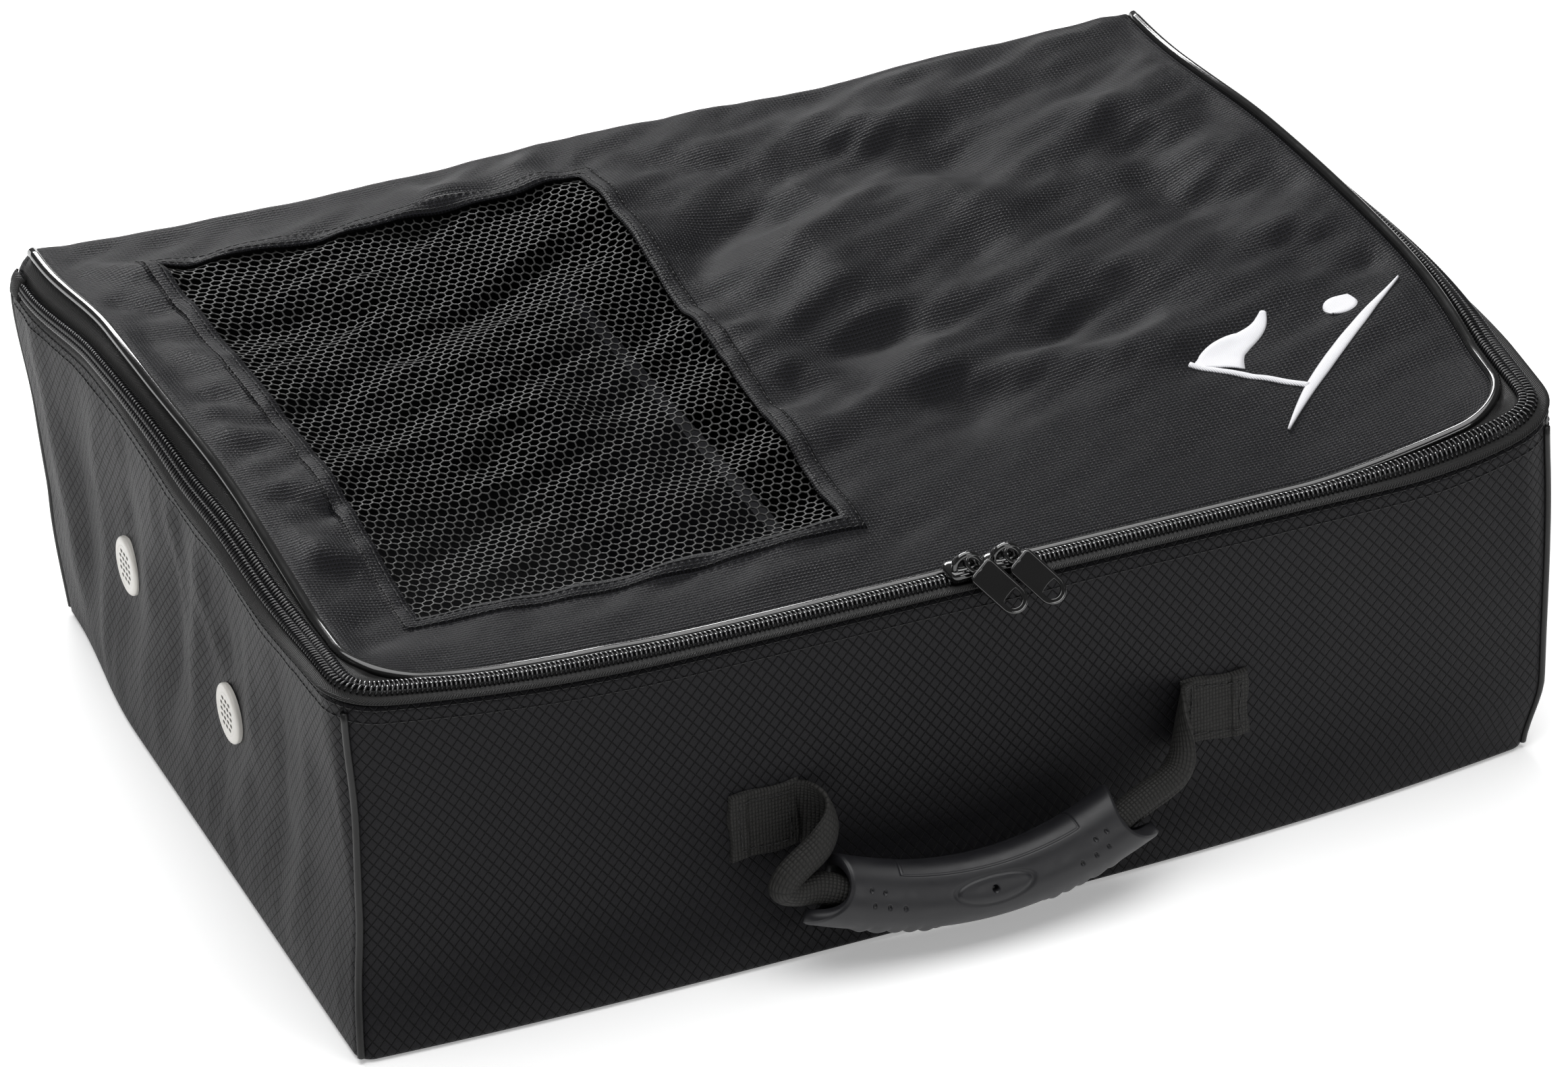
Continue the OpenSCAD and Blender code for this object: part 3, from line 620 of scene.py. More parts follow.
# soft folds of the lid: (x, y) of both ends, width and height, all in millimetres
LID_FOLDS = [
    (-30, 135, -12, 60, 13, 4.5), (-14, 60, 60, 92, 13, -6.0), (0, 30, 120, 100, 15, 5.5),
    (-30, 25, 25, -45, 11, 5.0), (20, -42, 165, -72, 12, 4.5), (-20, -5, 150, -40, 14, -5.0),
    (40, 70, 50, -15, 14, 3.5), (60, 130, 150, 60, 20, -5.5), (105, 100, 130, 0, 16, 5.0),
    (125, 5, 195, -50, 13, 4.0), (190, 95, 188, -10, 12, -4.5), (150, 120, 230, 60, 14, 3.5),
    (188, -5, 236, -30, 8, 3.0), (170, 30, 232, 10, 9, -2.8), (165, 60, 234, 45, 9, 2.6),
    (190, -35, 236, -60, 8, -2.4), (-50, 165, -28, 125, 9, 3.5), (70, 140, 135, 125, 14, 4.0),
    (-20, 150, 60, 110, 12, -3.5), (-40, -30, 5, -80, 9, 3.0), (-225, 150, -190, 128, 8, 4.0),
    (-160, 158, -198, 130, 7, -3.0), (-220, 75, -197, 45, 7, 3.4), (-232, 40, -200, 20, 7, -3.0),
    (-234, 5, -199, -10, 7, 3.2), (-234, -40, -200, -60, 7, -3.0), (-232, -70, -200, -95, 8, 3.0),
    (-233, 115, -200, 100, 8, -3.2), (-100, 160, -60, 145, 10, 2.6), (10, 0, 60, -100, 18, -3.0),
    (100, -90, 200, -130, 14, 2.4),
]


def lid_folds(x, y):
    rim = smooth((EDGE_X - 3 * MM - np.abs(x)) / (12 * MM)) * smooth((y + EDGE_Y - 4 * MM) / (30 * MM))
    rim = rim * smooth((LID_BACK_Y + 12 * MM - y) / (22 * MM))
    lengthwise, across = 0.9 * x + 0.44 * y, 0.9 * y - 0.44 * x
    streaks = ripple(np.stack([0.3 * lengthwise, across, 0 * x], -1), 0.042, 1.0)
    small = ripple(np.stack([0.5 * lengthwise, across, 0 * x], -1), 0.016, 2.0)
    flat = 1 - 0.75 * smooth((-0.06 - y) / 0.06) * smooth((x + 0.02) / 0.04)
    return rim * flat * (crease(x, y, LID_FOLDS) + 3.8 * MM * streaks + 0.7 * MM * small)


def lid_surface(x, y):
    return lid_edge_z(x, y) + lid_folds(x, y)


# ---- walls -------------------------------------------------------------------------------------

TURN = 7


def wall_plan(side, straight, r, q):
    """Plan points and outward directions of one wall, from mid-corner to mid-corner, anticlockwise.
    side is 0 front, 1 right, 2 back, 3 left; r and q are its first and last corner radius."""
    long, deep = (HALF_L, HALF_W) if side % 2 == 0 else (HALF_W, HALF_L)
    a = np.radians(np.linspace(-135, -90, TURN))
    b = np.radians(np.linspace(-90, -45, TURN))
    mid = np.linspace(-(long - r), long - q, straight)[1:-1]
    x = np.concatenate([-(long - r) + r * np.cos(a), mid, long - q + q * np.cos(b)])
    y = np.concatenate([-(deep - r) + r * np.sin(a), np.full(len(mid), -deep), -(deep - q) + q * np.sin(b)])
    nx = np.concatenate([np.cos(a), np.zeros(len(mid)), np.cos(b)])
    ny = np.concatenate([np.sin(a), -np.ones(len(mid)), np.sin(b)])
    c, s = [(1, 0), (0, 1), (-1, 0), (0, -1)][side]
    return np.stack([c * x - s * y, s * x + c * y], -1), np.stack([c * nx - s * ny, s * nx + c * ny], -1)


LEFT_FOLDS = [
    (-150, 140, -120, 10, 9, 2.0), (-118, 138, -100, 15, 8, -2.2), (-92, 136, -62, 20, 10, 2.6),
    (-60, 138, -40, 12, 8, -2.0), (-30, 140, -8, 25, 9, 2.8), (-5, 140, 22, 18, 8, -2.4),
    (20, 143, 60, 8, 11, 2.2), (52, 146, 78, 30, 8, -2.0), (88, 148, 105, 12, 10, 2.4),
    (118, 146, 130, 25, 9, -1.8), (150, 146, 152, 25, 10, 1.8), (-70, 60, 60, 26, 12, 1.6),
    (-20, 132, -60, 70, 6, 1.5), (10, 136, -10, 84, 5, 1.4), (60, 138, 110, 96, 7, 1.3),
]


def wall_relief(side, s, z):
    """How far a wall stands out of its flat plane; s runs along the wall from its middle."""
    at = np.stack([s, z * 0.6, np.full_like(s, side)], -1)
    long = HALF_L if side % 2 == 0 else HALF_W
    body = np.clip(1 - (s / long) ** 2, 0, 1) * np.sin(np.pi * np.clip(z / WALL_H, 0, 1))
    if side == 0:
        return 2.2 * MM * body + 0.9 * MM * ripple(at, 0.09, 3.0) * body
    if side == 3:
        inward = -3.0 * MM * smooth((z - 0.08) / 0.07) * bump(s, 0.05, 0.09)
        folds = crease(-s, z, LEFT_FOLDS)
        for y in VENT_Y:
            folds = folds * (1 - 0.92 * np.exp(-(((s + y) ** 2 + (z - VENT_Z) ** 2) / (20 * MM) ** 2) ** 2))
        return 1.5 * MM * body + folds * smooth((long - np.abs(s)) / 0.03) + inward \
            + 0.8 * MM * ripple(at * [2.2, 1, 1], 0.05, 4.0)
    if side == 1:
        folds = crease(s, z, LEFT_FOLDS)
        return 2.0 * MM * body + 0.8 * folds * smooth((long - np.abs(s)) / 0.03) \
            + 0.8 * MM * ripple(at * [2.2, 1, 1], 0.05, 5.0)
    return 2.0 * MM * body + 1.1 * MM * ripple(at, 0.08, 6.0) * smooth((long - np.abs(s)) / 0.05)


def wall_points(side, straight=110, rows=40):
    """Outside surface of one wall as points[s, height], with its running length and heights."""
    foot_r = 2.5 * MM
    v = np.concatenate([np.linspace(0, 1, 7)[:-1] * 0.045, np.linspace(0.045, 1, rows - 6)])
    columns = []
    for t in v:
        share = smooth((t - 0.35) / 0.6)
        front_r, rear_r = FOOT_R + (CORNER_R - FOOT_R) * share, FOOT_R + (REAR_R - FOOT_R) * share
        first_r, last_r = rear_r if side > 1 else front_r, rear_r if side in (1, 2) else front_r
        plan, out = wall_plan(side, straight, first_r, last_r)
        top = wall_top(plan[:, 0], plan[:, 1]) if side != 2 else np.full(len(plan), WALL_H)
        if side != 2:
            rear = smooth((plan[:, 1] - 0.16) / 0.02)
            top = top * (1 - rear) + WALL_H * rear
        z = top * t
        z[z < 0.3 * MM] = 0.3 * MM
        step = np.linalg.norm(np.diff(plan, axis=0), axis=1)
        s = np.concatenate([[0], np.cumsum(step)])
        s = s - s[-1] / 2
        drop = np.clip(1 - z / foot_r, 0, 1)
        tuck = -foot_r * (1 - np.sqrt(np.clip(1 - drop**2, 0, 1)))
        edge = smooth(z / (12 * MM)) * smooth((top - z) / (10 * MM))
        off = wall_relief(side, s, z) * edge + tuck
        columns.append((np.column_stack([plan + out * off[:, None], z]), s, z))
    points = np.stack([c[0] for c in columns], 1)
    uv = np.stack([np.stack([c[1], c[2]], -1) for c in columns], 1)
    uv[..., 0] += side * 0.2
    return points, uv


WALL_NAMES = ["front", "right", "back", "left"]


def make_walls():
    for side, name in enumerate(WALL_NAMES):
        points, uv = wall_points(side, 110 if side % 2 == 0 else 90)
        wall = grid(f"{name}_wall_cloth", points, [RIPSTOP, COATED], uv)
        solidify(wall, WALL_T, inner=1)
        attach(wall, "shell")
        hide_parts(f"{name}_wall")


def make_base():
    n = 24
    r = 7 * MM
    inset = 3.2 * MM
    ring = []
    for cx, cy, a0 in ((1, 1, 0), (-1, 1, 90), (-1, -1, 180), (1, -1, 270)):
        for a in np.radians(np.linspace(a0, a0 + 90, 9)):
            u, v = (r - inset) * math.cos(a), (r - inset) * math.sin(a)
            ring.append([cx * (HALF_L - r) + u, cy * (HALF_W - r) + v])
    ring = np.array(ring)
    shares = np.linspace(0.0, 1.0, n)
    points = np.stack([np.column_stack([ring * k, np.full(len(ring), 0.0)]) for k in shares], 0)
    points[..., 2] = 0.0002 + 0.8 * MM * (1 - smooth((1 - shares)[:, None] / 0.03))
    base = grid("base_cloth", points[::-1], [RIPSTOP, COATED], points[::-1][..., :2], close_v=True)
    base.data.flip_normals()
    for p in base.data.polygons:
        if p.normal.z > 0:
            base.data.flip_normals()
            break
    solidify(base, 1.8 * MM, inner=1)
    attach(base, "shell")
    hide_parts("base_panel")


# ---- the zip band ------------------------------------------------------------------------------

def band_stations():
    """Wall points, lid points, and the frame across the band, from the left zip end round to the right."""
    centre = np.array([EDGE_X - EDGE_R, EDGE_Y - EDGE_R])
    wall_c = np.array([HALF_L - CORNER_R, HALF_W - CORNER_R])

    def hit(u):
        side = centre + u * (HALF_L - centre[0]) / max(u[0], 1e-4)
        front = centre + u * (HALF_W - centre[1]) / max(u[1], 1e-4)
        if side[1] <= wall_c[1]:
            return side
        if front[0] <= wall_c[0]:
            return front
        w = centre - wall_c
        b = w @ u
        return centre + u * (-b + math.sqrt(b * b - w @ w + CORNER_R**2))

    wall, lid = [], []
    for y in np.linspace(BAND_END_Y, -centre[1], 74)[:-1]:
        wall.append((-HALF_L, y))
        lid.append((-EDGE_X, y))
    for a in np.linspace(0, math.pi / 2, 26)[:-1]:
        u = np.array([math.cos(a), math.sin(a)])
        w = hit(u)
        wall.append((-w[0], -w[1]))
        lid.append(tuple(-(centre + EDGE_R * u)))
    for x in np.linspace(-centre[0], 0, 62):
        wall.append((x, -HALF_W))
        lid.append((x, -EDGE_Y))
    wall = wall + [(-x, y) for x, y in reversed(wall[:-1])]
    lid = lid + [(-x, y) for x, y in reversed(lid[:-1])]
    wall, lid = np.array(wall), np.array(lid)
    foot = np.column_stack([wall, wall_top(wall[:, 0], wall[:, 1]) + 2.2 * MM])
    head = np.column_stack([lid, lid_edge_z(lid[:, 0], lid[:, 1])])
    for _ in range(6):
        foot[1:-1] = (foot[:-2] + 2 * foot[1:-1] + foot[2:]) / 4
    run = unit(np.gradient((foot + head) / 2, axis=0))
    out = unit(np.cross(run, unit(head - foot)))
    across = np.cross(out, run)
    return foot, head, run, across, out


FOOT, HEAD, RUN, ACROSS, OUT = band_stations()
WIDTH = np.linalg.norm(HEAD - FOOT, axis=1)


def on_band(b, n):
    return FOOT + ACROSS * np.reshape(b, (-1, 1)) + OUT * np.reshape(n, (-1, 1))


def strip(name, edges, mat, thickness):
    """A tape that runs the length of the band; edges is a list of (across, out) distances."""
    rows = [on_band(np.broadcast_to(b, len(FOOT)), np.broadcast_to(n, len(FOOT))) for b, n in edges]
    points = np.stack(rows, 1)
    length = np.concatenate([[0], np.cumsum(np.linalg.norm(np.diff(FOOT, axis=0), axis=1))])
    v = np.stack([np.broadcast_to(b, len(FOOT)) for b, _ in edges], 1)
    uv = np.stack([np.repeat(length[:, None], len(rows), 1), v], -1)
    return solidify(grid(name, points, [mat], uv), thickness)


def tooth_shape(sign):
    """One coil loop seen across the chain: up from its outer edge, over, and hooked at the middle."""
    half = CHAIN_MID - CHAIN_START
    line = np.array([
        [0.20, 0.00, 0.25], [-0.05, 0.10, 0.95], [0.10, 0.40, 1.70], [0.42, 1.30, 2.15],
        [0.62, 2.60, 2.20], [0.70, 3.60, 1.95], [0.74, 4.20, 1.35], [0.70, 4.25, 0.60],
    ]) * MM
    line[:, 1] *= half / (3.9 * MM)
    if sign < 0:
        line[:, 1] = 2 * half - line[:, 1]
        line[:, 0] += 0.95 * MM
    return line


def make_teeth(name, sign, body, node):
    line = tooth_shape(sign)
    sides = 6
    radius = np.array([0.42, 0.50, 0.55, 0.55, 0.55, 0.62, 0.62, 0.45]) * MM
    where = along(on_band(np.full(len(FOOT), CHAIN_MID), np.zeros(len(FOOT))), 1.9 * MM)
    at, run = pick(on_band(np.full(len(FOOT), CHAIN_START), np.zeros(len(FOOT))), where), unit(pick(RUN, where))
    across, out = unit(pick(ACROSS, where)), unit(pick(OUT, where))
    verts = []
    grad = unit(np.gradient(line, axis=0))
    for p, r, t in zip(line, radius, grad):
        side = unit(np.cross(t, [1, 0, 0]))
        other = np.cross(t, side)
        for k in range(sides):
            a = 2 * math.pi * k / sides
            verts.append(p + r * (math.cos(a) * side + math.sin(a) * other))
    teeth = copies(name, verts, capped_faces(len(line), sides), list(zip(at, run, across, out)), [COIL])
    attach(teeth, body)
    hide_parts(node)
    return teeth


def make_band():
    lower = strip(
        "lower_zip_tape",
        [(-1.5 * MM, -0.6 * MM), (0.5 * MM, 0.0), (3 * MM, 0), (7.3 * MM, 0)],
        TAPE, 0.7 * MM,
    )
    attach(lower, "shell")
    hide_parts("zip_tape_lower")
    far = WIDTH - PIPING_R * 0.6
    upper = strip(
        "upper_zip_tape",
        [(7.9 * MM, 0), (CHAIN_END, 0), (0.5 * CHAIN_END + 0.5 * far, 0.3 * MM), (far, -0.2 * MM)],
        TAPE, 0.7 * MM,
    )
    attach(upper, "lid")
    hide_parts("zip_tape_upper")
    make_teeth("lower_coil", 1, "shell", "zip_coil_lower")
    make_teeth("upper_coil", -1, "lid", "zip_coil_upper")
    core = HEAD + OUT * 0.3 * MM
    piping = tube("lid_piping_cord", core, PIPING_R, [PIPING], 14)
    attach(piping, "lid")
    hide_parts("lid_piping")


def make_end_tabs():
    """Folded tabs of cloth over both ends of the zip, sewn to the wall."""
    profile = ((5.0, 0.2), (5.4, 1.6), (4.6, 2.9), (0.5, 3.2), (-4.0, 3.1), (-5.5, 2.4), (-5.8, 0.2))
    tabs = []
    for end, step in ((0, 1), (-1, -1)):
        run = RUN[end] * step
        rows = []
        for along_by, lift in profile:
            line = []
            for b in np.linspace(-1.0, 14.0, 14):
                swell = 1 - 0.55 * abs((b - 6.5) / 7.5) ** 3
                line.append(FOOT[end] + ACROSS[end] * b * MM + OUT[end] * lift * swell * MM + run * along_by * MM)
            rows.append(line)
        rows = np.array(rows)
        uv = np.stack(np.meshgrid(np.arange(7) * 3 * MM, np.linspace(0, 15 * MM, 14), indexing="ij"), -1)
        tab = grid("tab", rows, [TAPE], uv)
        face_up(tab)
        tabs.append(tab)
    tab = join("zip_end_folds", tabs)
    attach(tab, "shell")
    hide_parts("zip_end_tabs")


def make_wall_stitches():
    """Two rows of black stitches under the walls' top edge, along the zip."""
    rows = []
    for side in (3, 0, 1):
        points, _ = wall_points(side, 110 if side % 2 == 0 else 90)
        for down in (1.8 * MM, 7.2 * MM):
            line, normal = [], []
            for column in points:
                z = column[:, 2]
                target = z[-1] - down
                line.append([np.interp(target, z, column[:, k]) for k in range(3)])
            line = np.array(line)
            tangent = unit(np.gradient(line, axis=0))
            normal = unit(np.cross(tangent, np.broadcast_to(UP, tangent.shape)))
            keep = line[:, 1] < BAND_END_Y + 8 * MM
            rows.append(stitches("row", line[keep] + normal[keep] * 0.1 * MM, normal[keep], [BLACK_THREAD]))
    seam = join("wall_top_stitches", rows)
    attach(seam, "shell")


# ---- lid ---------------------------------------------------------------------------------------

HEM = 8 * MM
X0, X1, Y0, Y1 = win_lo.x, win_hi.x, win_lo.y, win_hi.y
PANEL_X = EDGE_X - 1.4 * MM
PANEL_Y = EDGE_Y - 1.4 * MM
PANEL_R = EDGE_R - 1.4 * MM
FULL_X = PANEL_X - PANEL_R
BACK_FOOT = WALL_H - 1.0 * MM


def lines(stops, step):
    """Grid lines that pass through every stop."""
    out = [stops[0]]
    for a, b in zip(stops[:-1], stops[1:]):
        out += list(np.linspace(a, b, max(1, round((b - a) / step)) + 1)[1:])
    return np.array(out)


def lid_grid(step=3.6 * MM):
    xs = lines([-PANEL_X, -FULL_X, X0, X1, FULL_X, PANEL_X], step)
    ys = lines([-PANEL_Y, Y0, Y1, LID_BACK_Y], step)
    roll = np.linspace(0, math.pi / 2, 13)[1:]
    x, y = np.meshgrid(xs, ys, indexing="ij")
    turn = np.sqrt(np.clip(1 - np.clip((-PANEL_Y + PANEL_R - y) / PANEL_R, 0, 1) ** 2, 0.003, 1))
    x = np.where(np.abs(x) <= FULL_X, x, np.sign(x) * (FULL_X + (np.abs(x) - FULL_X) * turn))
    z = lid_surface(x, y)
    flat = np.stack([x, y, z], -1)
    last = flat[:, -1]
    back = []
    for a in roll:
        share = 1 - 9 * MM * (1 - math.cos(a)) / (PANEL_X - FULL_X)
        bx = np.where(np.abs(xs) <= FULL_X, xs, np.sign(xs) * (FULL_X + (np.abs(xs) - FULL_X) * share))
        by = np.full(len(xs), LID_BACK_Y + (HALF_W + 0.3 * MM - LID_BACK_Y) * math.sin(a))
        back.append(np.column_stack([bx, by, BACK_FOOT + (last[:, 2] - BACK_FOOT) * math.cos(a)]))
    points = np.concatenate([flat, np.stack(back, 1)], 1)
    v = np.concatenate([ys, ys[-1] + np.cumsum(np.full(len(roll), 3.3 * MM))])
    uv = np.stack(np.meshgrid(xs, v, indexing="ij"), -1)
    return xs, ys, points, uv


def make_lid():
    xs, ys, points, uv = lid_grid()
    centre_x, centre_y = (xs[:-1] + xs[1:]) / 2, (ys[:-1] + ys[1:]) / 2

    def inside(i, j):
        return j < len(centre_y) and X0 < centre_x[i] < X1 and Y0 < centre_y[j] < Y1

    lid = grid("lid_cloth", points, [OXFORD, COATED], uv, keep=lambda i, j: not inside(i, j))
    drop_loose(lid)
    solidify(lid, 1.1 * MM, inner=1)
    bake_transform(lid)
    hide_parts("lid_panel")
    return lid


def window_sag(x, y):
    """How far the mesh hangs below the lid's line: slack waves that fade to nothing at the hem."""
    u, v = (x - X0) / (X1 - X0), (y - Y0) / (Y1 - Y0)
    rim = np.clip(np.sin(np.pi * np.clip(u, 0, 1)) * np.sin(np.pi * np.clip(v, 0, 1)), 0, 1) ** 0.45
    at = np.stack([x * 0.8, y, np.zeros_like(x)], -1)
    wave = 2.2 * np.sin(2 * np.pi * (3.1 * v + 0.5 * np.sin(2.4 * u + 0.6))) * bump(v, 0.74, 0.3)
    return MM * rim * (-3.0 + wave + 2.2 * ripple(at, 0.05, 7.0) + 2.5 * bump(u + 0.5 * v, 0.78, 0.08))


def make_window():
    """Hexagonal knit: every cell is a ring of yarn between shared outer corners and its own hole."""
    cell = 4.1 * MM
    row = cell * 0.86
    size = cell / math.sqrt(3)
    hole = 0.84
    index, verts, faces = {}, [], []
    nx, ny = int((X1 - X0 + 8 * MM) / cell) + 1, int((Y1 - Y0 + 8 * MM) / row) + 1

    def vertex(x, y, key=None):
        if key is not None and key in index:
            return index[key]
        verts.append((x, y))
        if key is not None:
            index[key] = len(verts) - 1
        return len(verts) - 1

    for j in range(ny):
        for i in range(nx):
            cx = X0 - 4 * MM + (i + 0.5 * (j % 2)) * cell
            cy = Y0 - 4 * MM + j * row
            if not (X0 - 3.5 * MM < cx < X1 + 3.5 * MM and Y0 - 3.5 * MM < cy < Y1 + 3.5 * MM):
                continue
            outer, inner = [], []
            for k in range(6):
                a = math.radians(30 + 60 * k)
                ox, oy = math.cos(a) * size, math.sin(a) * size * row / (cell * math.sqrt(3) / 2)
                key = (round((cx + ox) / MM, 1), round((cy + oy) / MM, 1))
                outer.append(vertex(cx + ox, cy + oy, key))
            for k in range(6):
                a = math.radians(30 + 60 * k)
                ox, oy = math.cos(a) * size * hole, math.sin(a) * size * hole * row / (cell * math.sqrt(3) / 2)
                inner.append(vertex(cx + ox, cy + oy))
            for k in range(6):
                l = (k + 1) % 6
                faces.append((outer[k], outer[l], inner[l], inner[k]))
    flat = np.array(verts)
    z = lid_surface(flat[:, 0], flat[:, 1]) - 1.6 * MM + window_sag(flat[:, 0], flat[:, 1])
    points = np.column_stack([flat, z])
    net = make("mesh_net", points, faces, [KNIT], flat)
    solidify(net, 0.45 * MM, offset=0.0)
    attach(net, "lid")
    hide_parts("mesh_window")
    return net


def frame_strip(name, inner, outer, lift, mat, rounds=5):
    """A flat frame round the window between two rectangles, domed a little across its width."""
    corners = [(X0, Y0), (X1, Y0), (X1, Y1), (X0, Y1)]
    sign = [(-1, -1), (1, -1), (1, 1), (-1, 1)]
    path = []
    for k in range(4):
        (ax, ay), (bx, by) = corners[k], corners[(k + 1) % 4]
        n = max(2, round(math.hypot(bx - ax, by - ay) / (3.6 * MM)))
        for t in np.linspace(0, 1, n, endpoint=False):
            sx = sign[k][0] * (1 - t) + sign[(k + 1) % 4][0] * t
            sy = sign[k][1] * (1 - t) + sign[(k + 1) % 4][1] * t
            path.append((ax + (bx - ax) * t, ay + (by - ay) * t, sx, sy))
    path = np.array(path)
    rows = []
    for w in np.linspace(0, 1, rounds):
        off = inner + (outer - inner) * w
        x, y = path[:, 0] + path[:, 2] * off, path[:, 1] + path[:, 3] * off
        dome = lift * math.sqrt(max(0.0, 1 - (2 * w - 1) ** 4))
        rows.append(np.column_stack([x, y, lid_surface(x, y) + dome]))
    points = np.stack(rows, 1)
    return grid(name, points, [mat], points[..., :2], close_u=True), path


def make_hem():
    hem, path = frame_strip("window_hem", -0.3 * MM, HEM, 0.75 * MM, OXFORD)
    hem.data.flip_normals()
    up = sum(p.normal.z for p in hem.data.polygons)
    if up < 0:
        hem.data.flip_normals()
    solidify(hem, 0.6 * MM)
    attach(hem, "lid")
    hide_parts("window_binding")
    rows = []
    for off in (2.2 * MM, 6.6 * MM):
        x, y = path[:, 0] + path[:, 2] * off, path[:, 1] + path[:, 3] * off
        line = np.column_stack([x, y, lid_surface(x, y) + 0.75 * MM])
        line = np.vstack([line, line[:1]])
        normal = np.broadcast_to(UP, line.shape)
        rows.append(stitches("row", line, normal, [BLACK_THREAD], 3.2 * MM, 2.5 * MM, 0.5 * MM))
    seam = join("window_stitches", rows)
    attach(seam, "lid")


def make_gussets():
    """Cloth that closes the lid's rear corners, between the zip's ends and the back fold."""
    pieces = []
    for s in (-1, 1):
        wall, lid = [], []
        for y in np.linspace(BAND_END_Y - 3 * MM, LID_BACK_Y, 6)[:-1]:
            wall.append((HALF_L - 0.3 * MM, y, WALL_H - 1 * MM))
            lid.append((PANEL_X - 0.2 * MM, y, float(lid_edge_z(np.array(PANEL_X), np.array(y)))))
        for a in np.linspace(0, math.pi / 2, 16):
            wall.append((
                HALF_L - REAR_R + (REAR_R - 0.3 * MM) * math.cos(a),
                HALF_W - REAR_R + (REAR_R - 0.3 * MM) * math.sin(a), WALL_H - 1 * MM,
            ))
            top = float(lid_edge_z(np.array(PANEL_X), np.array(LID_BACK_Y)))
            lid.append((
                PANEL_X - 9 * MM * (1 - math.cos(a)) - 0.2 * MM, LID_BACK_Y + (HALF_W - LID_BACK_Y) * math.sin(a),
                BACK_FOOT + (top - BACK_FOOT) * math.cos(a),
            ))
        wall, lid = np.array(wall), np.array(lid)
        rows = []
        for t in np.linspace(0, 1, 9):
            p = wall * (1 - t) + lid * t
            bulge = 3.0 * MM * math.sin(math.pi * t)
            out = unit(np.column_stack([p[:, 0] - (HALF_L - 60 * MM), p[:, 1] - (HALF_W - 60 * MM), 0 * p[:, 0]]))
            rows.append(p + out * bulge)
        points = np.stack(rows, 1)
        points[..., 0] *= s
        uv = np.stack(np.meshgrid(np.arange(len(wall)) * 3 * MM, np.linspace(0, 0.024, 9), indexing="ij"), -1)
        piece = grid("gusset", points, [OXFORD, COATED], uv)
        if s > 0:
            piece.data.flip_normals()
        out_sum = sum(p.normal.x * s + p.normal.y for p in piece.data.polygons)
        if out_sum < 0:
            piece.data.flip_normals()
        pieces.append(piece)
    gusset = join("rear_gussets", pieces)
    solidify(gusset, 1.0 * MM, inner=1)
    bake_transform(gusset)
    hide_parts("hinge_gussets")


# ---- emblem ------------------------------------------------------------------------------------

def ribbon(path, lift=0.9 * MM):
    """Satin stitching along (right, up, half width) points in mm, domed, laid slantwise on the lid."""
    cx, cy = 0.180, -0.088
    path = np.array(path) * MM
    run = unit(np.gradient(path[:, :2], axis=0))
    side = np.stack([-run[:, 1], run[:, 0]], -1)
    rows = []
    for w in np.linspace(-1, 1, 9):
        p = path[:, :2] + side * (path[:, 2] * w)[:, None]
        x = cx + (p[:, 0] - p[:, 1]) * math.sqrt(0.5)
        y = cy + (p[:, 0] + p[:, 1]) * math.sqrt(0.5)
        dome = lift * max(0.0, 1 - abs(w) ** 3)
        rows.append(np.column_stack([x, y, lid_surface(x, y) + 0.05 * MM + dome]))
    return grid("ribbon", np.stack(rows, 1), [WHITE_THREAD])


def make_emblem():
    """A plain golf flag on its pin, a ball and a ground line."""
    t = np.linspace(0, 1, 40)
    pin = np.column_stack([np.full(40, -22.0), -15 + 44 * t, np.full(40, 1.5)])
    flag = np.column_stack([-20.5 + 36 * t, 19 + 1.6 * np.sin(2 * np.pi * t), 9.0 - 7.8 * t])
    ground = np.column_stack([-48 + 94 * t, -19 + 4 * np.sin(np.pi * t), 0.5 + 2.2 * np.sin(np.pi * t)])
    a = np.radians(np.linspace(-88, 88, 40))
    ball = np.column_stack([26 + 6 * np.sin(a), np.full(40, -4.5), 6 * np.cos(a)])
    parts = [ribbon(p) for p in (pin, flag, ground, ball)]
    emblem = join("lid_embroidery", parts)
    face_up(emblem)
    solidify(emblem, 0.5 * MM)
    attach(emblem, "lid")
    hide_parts("lid_emblem")


# ---- hard parts and handle -----------------------------------------------------------------------

def lathe(profile, at, axis, right, mats, name, sides=64):
    """Turn a list of (radius, height) about axis at a place."""
    up = np.cross(axis, right)
    angle = np.linspace(0, 2 * np.pi, sides, endpoint=False)
    ring = np.cos(angle)[:, None] * right + np.sin(angle)[:, None] * up
    points = np.array([[at + r * d + h * axis for d in ring] for r, h in profile])
    return grid(name, points[::-1], mats, close_v=True, soft=False)


def plate(name, loops, depth, bevel, mats, matrix):
    """Flat plate with holes from closed 2-D loops, its thickness along local y, placed by matrix."""
    curve = bpy.data.curves.new(name, "CURVE")
    curve.dimensions, curve.fill_mode = "2D", "BOTH"
    curve.extrude, curve.bevel_depth, curve.bevel_resolution = depth / 2 - bevel, bevel, 2
    for loop in loops:
        spline = curve.splines.new("POLY")
        spline.points.add(len(loop) - 1)
        for point, (u, v) in zip(spline.points, loop):
            point.co = (u, v, 0, 1)
        spline.use_cyclic_u = True
    solid = bpy.data.objects.new(name, curve)
    scene.collection.objects.link(solid)
    bpy.context.view_layer.update()
    mesh = bpy.data.meshes.new_from_object(solid.evaluated_get(bpy.context.evaluated_depsgraph_get()))
    bpy.data.objects.remove(solid)
    mesh.transform(matrix @ Matrix.Rotation(math.pi / 2, 4, "X"))
    mesh.materials.clear()
    for m in mats:
        mesh.materials.append(m)
    obj = bpy.data.objects.new(name, mesh)
    scene.collection.objects.link(obj)
    return obj


